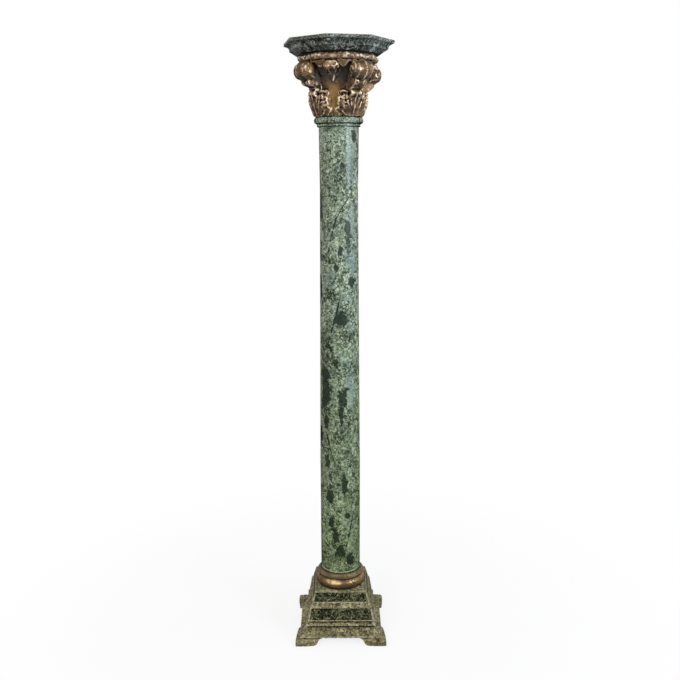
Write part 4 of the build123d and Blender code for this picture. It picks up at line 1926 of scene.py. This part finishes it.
@dataclass
class Studio:
    """Camera, lamps, white surroundings and floor."""

    eye: tuple[float, float, float] = (0.0, -2.378, 1.460)
    pitch: float = 12.15
    roll: float = -0.25
    focal_share: float = 800 / 680
    sensor: float = 36.0
    shift: float = 0.0005
    ambient: float = 0.55
    floor_size: float = 60.0
    shadow_reach: float = 1.2
    floor_bounce: Colour = (0.25, 0.24, 0.22)
    floor_tone: Colour = (0.9, 0.9, 0.9)
    floor_rough: float = 0.9
    floor_white: float = 0.8
    lamps: tuple[Lamp, ...] = (
        Lamp("window", (2.3, -1.75, 1.8), (0, 0, 1.3), 1.1, 48.0, (0.84, 0.93, 1.0)),
        Lamp("left", (-1.5, -2.1, 2.2), (0, 0, 1.0), 0.8, 15.0, (1.0, 0.95, 0.88)),
        Lamp("low", (-0.45, -1.65, 0.95), (0, 0, 0.22), 0.4, 0.7, (1.0, 0.93, 0.80), 40.0),
    )

    def camera(self) -> None:
        """Set the camera where the photograph was taken from."""
        data = bpy.data.cameras.new("view")
        data.sensor_width = self.sensor
        data.lens = self.focal_share * self.sensor
        data.shift_x = self.shift
        camera = bpy.data.objects.new("view", data)
        camera.location = self.eye
        tilt = Matrix.Rotation(math.radians(90 - self.pitch), 4, "X")
        camera.rotation_euler = (tilt @ Matrix.Rotation(math.radians(self.roll), 4, "Z")).to_euler()
        bpy.context.scene.collection.objects.link(camera)
        bpy.context.scene.camera = camera

    def surroundings(self) -> None:
        """Light the world evenly, and show it white behind the column."""
        world = bpy.data.worlds.new("studio")
        bpy.context.scene.world = world
        world.use_nodes = True
        graph = Graph(world.node_tree)
        back = world.node_tree.nodes["Background"]
        path = graph.add("LightPath")
        seen = graph.sum(path.outputs["Is Camera Ray"], path.outputs["Is Glossy Ray"], "MAXIMUM")
        seen = graph.sum(seen, path.outputs["Is Transmission Ray"], "MAXIMUM")
        inputs = {"Value": seen, "To Min": self.ambient, "To Max": 1.0}
        level = graph.add("MapRange", inputs).outputs["Result"]
        back.inputs["Color"].default_value = (1.0, 1.0, 1.0, 1.0)
        graph.tree.links.new(level, back.inputs["Strength"])

    def floor(self) -> None:
        """Lay the pale floor, which shows white to the camera and keeps a soft shadow."""
        bpy.ops.object.select_all(action="DESELECT")
        bpy.ops.mesh.primitive_plane_add(size=self.floor_size)
        floor = take("floor")
        material, graph, shader = new_material("pale_floor")
        shader.inputs["Roughness"].default_value = self.floor_rough
        glow = graph.add("Emission", {"Color": (1.0, 1.0, 1.0, 1.0), "Strength": 1.0})
        path = graph.add("LightPath")
        tone = graph.mix(path.outputs["Is Camera Ray"], self.floor_bounce, self.floor_tone)
        graph.tree.links.new(tone, shader.inputs["Base Color"])
        away = graph.add("VectorMath", {0: graph.place()}, operation="LENGTH").outputs["Value"]
        inputs = {"Value": away, "From Max": self.shadow_reach, "To Min": self.floor_white}
        white = graph.add("MapRange", inputs)
        share = graph.sum(path.outputs["Is Camera Ray"], white.outputs["Result"], "MULTIPLY")
        both = graph.add("MixShader", {0: share, 1: shader.outputs[0], 2: glow.outputs[0]})
        out = material.node_tree.nodes["Material Output"]
        graph.tree.links.new(both.outputs[0], out.inputs["Surface"])
        floor.data.materials.append(material)

    def build(self) -> None:
        """Set up the whole studio."""
        self.camera()
        self.surroundings()
        self.floor()
        for lamp in self.lamps:
            lamp.hang()
        bpy.context.scene.view_settings.view_transform = "Standard"


def dress_boards(material: bpy.types.Material) -> None:
    """Give the eight marbled boards their finish.

    Args:
        material: the panel marbling.
    """
    for node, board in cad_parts.items():
        if "panel" in node:
            board.data.materials.clear()
            board.data.materials.append(material)


def main() -> None:
    """Build the studio and every piece of the column."""
    logging.basicConfig(level=logging.INFO, format="%(name)s: %(message)s")
    Studio().build()
    shared = Shared(make_wear(), make_flecks(), make_threads())
    olive = OLIVE_PAINT.make(shared)
    Shaft().build(GREEN_MARBLING.make(shared))
    BaseRing().build(RING_GILDING.make(shared))
    PedestalDie().build(olive)
    Plinth().build(olive)
    for number, side in enumerate(("front_left", "front_right", "back_left", "back_right")):
        BracketFoot(f"foot_{side}", replace(FOOT_WORK, seed=FOOT_WORK.seed + number)).build(olive)
    dress_boards(PANEL_MARBLING.make(shared))
    Abacus().build(DARK_MARBLING.make(shared))
    Capital().build(HEAD_GILDING.make(shared))


if __name__ == "__main__":
    main()
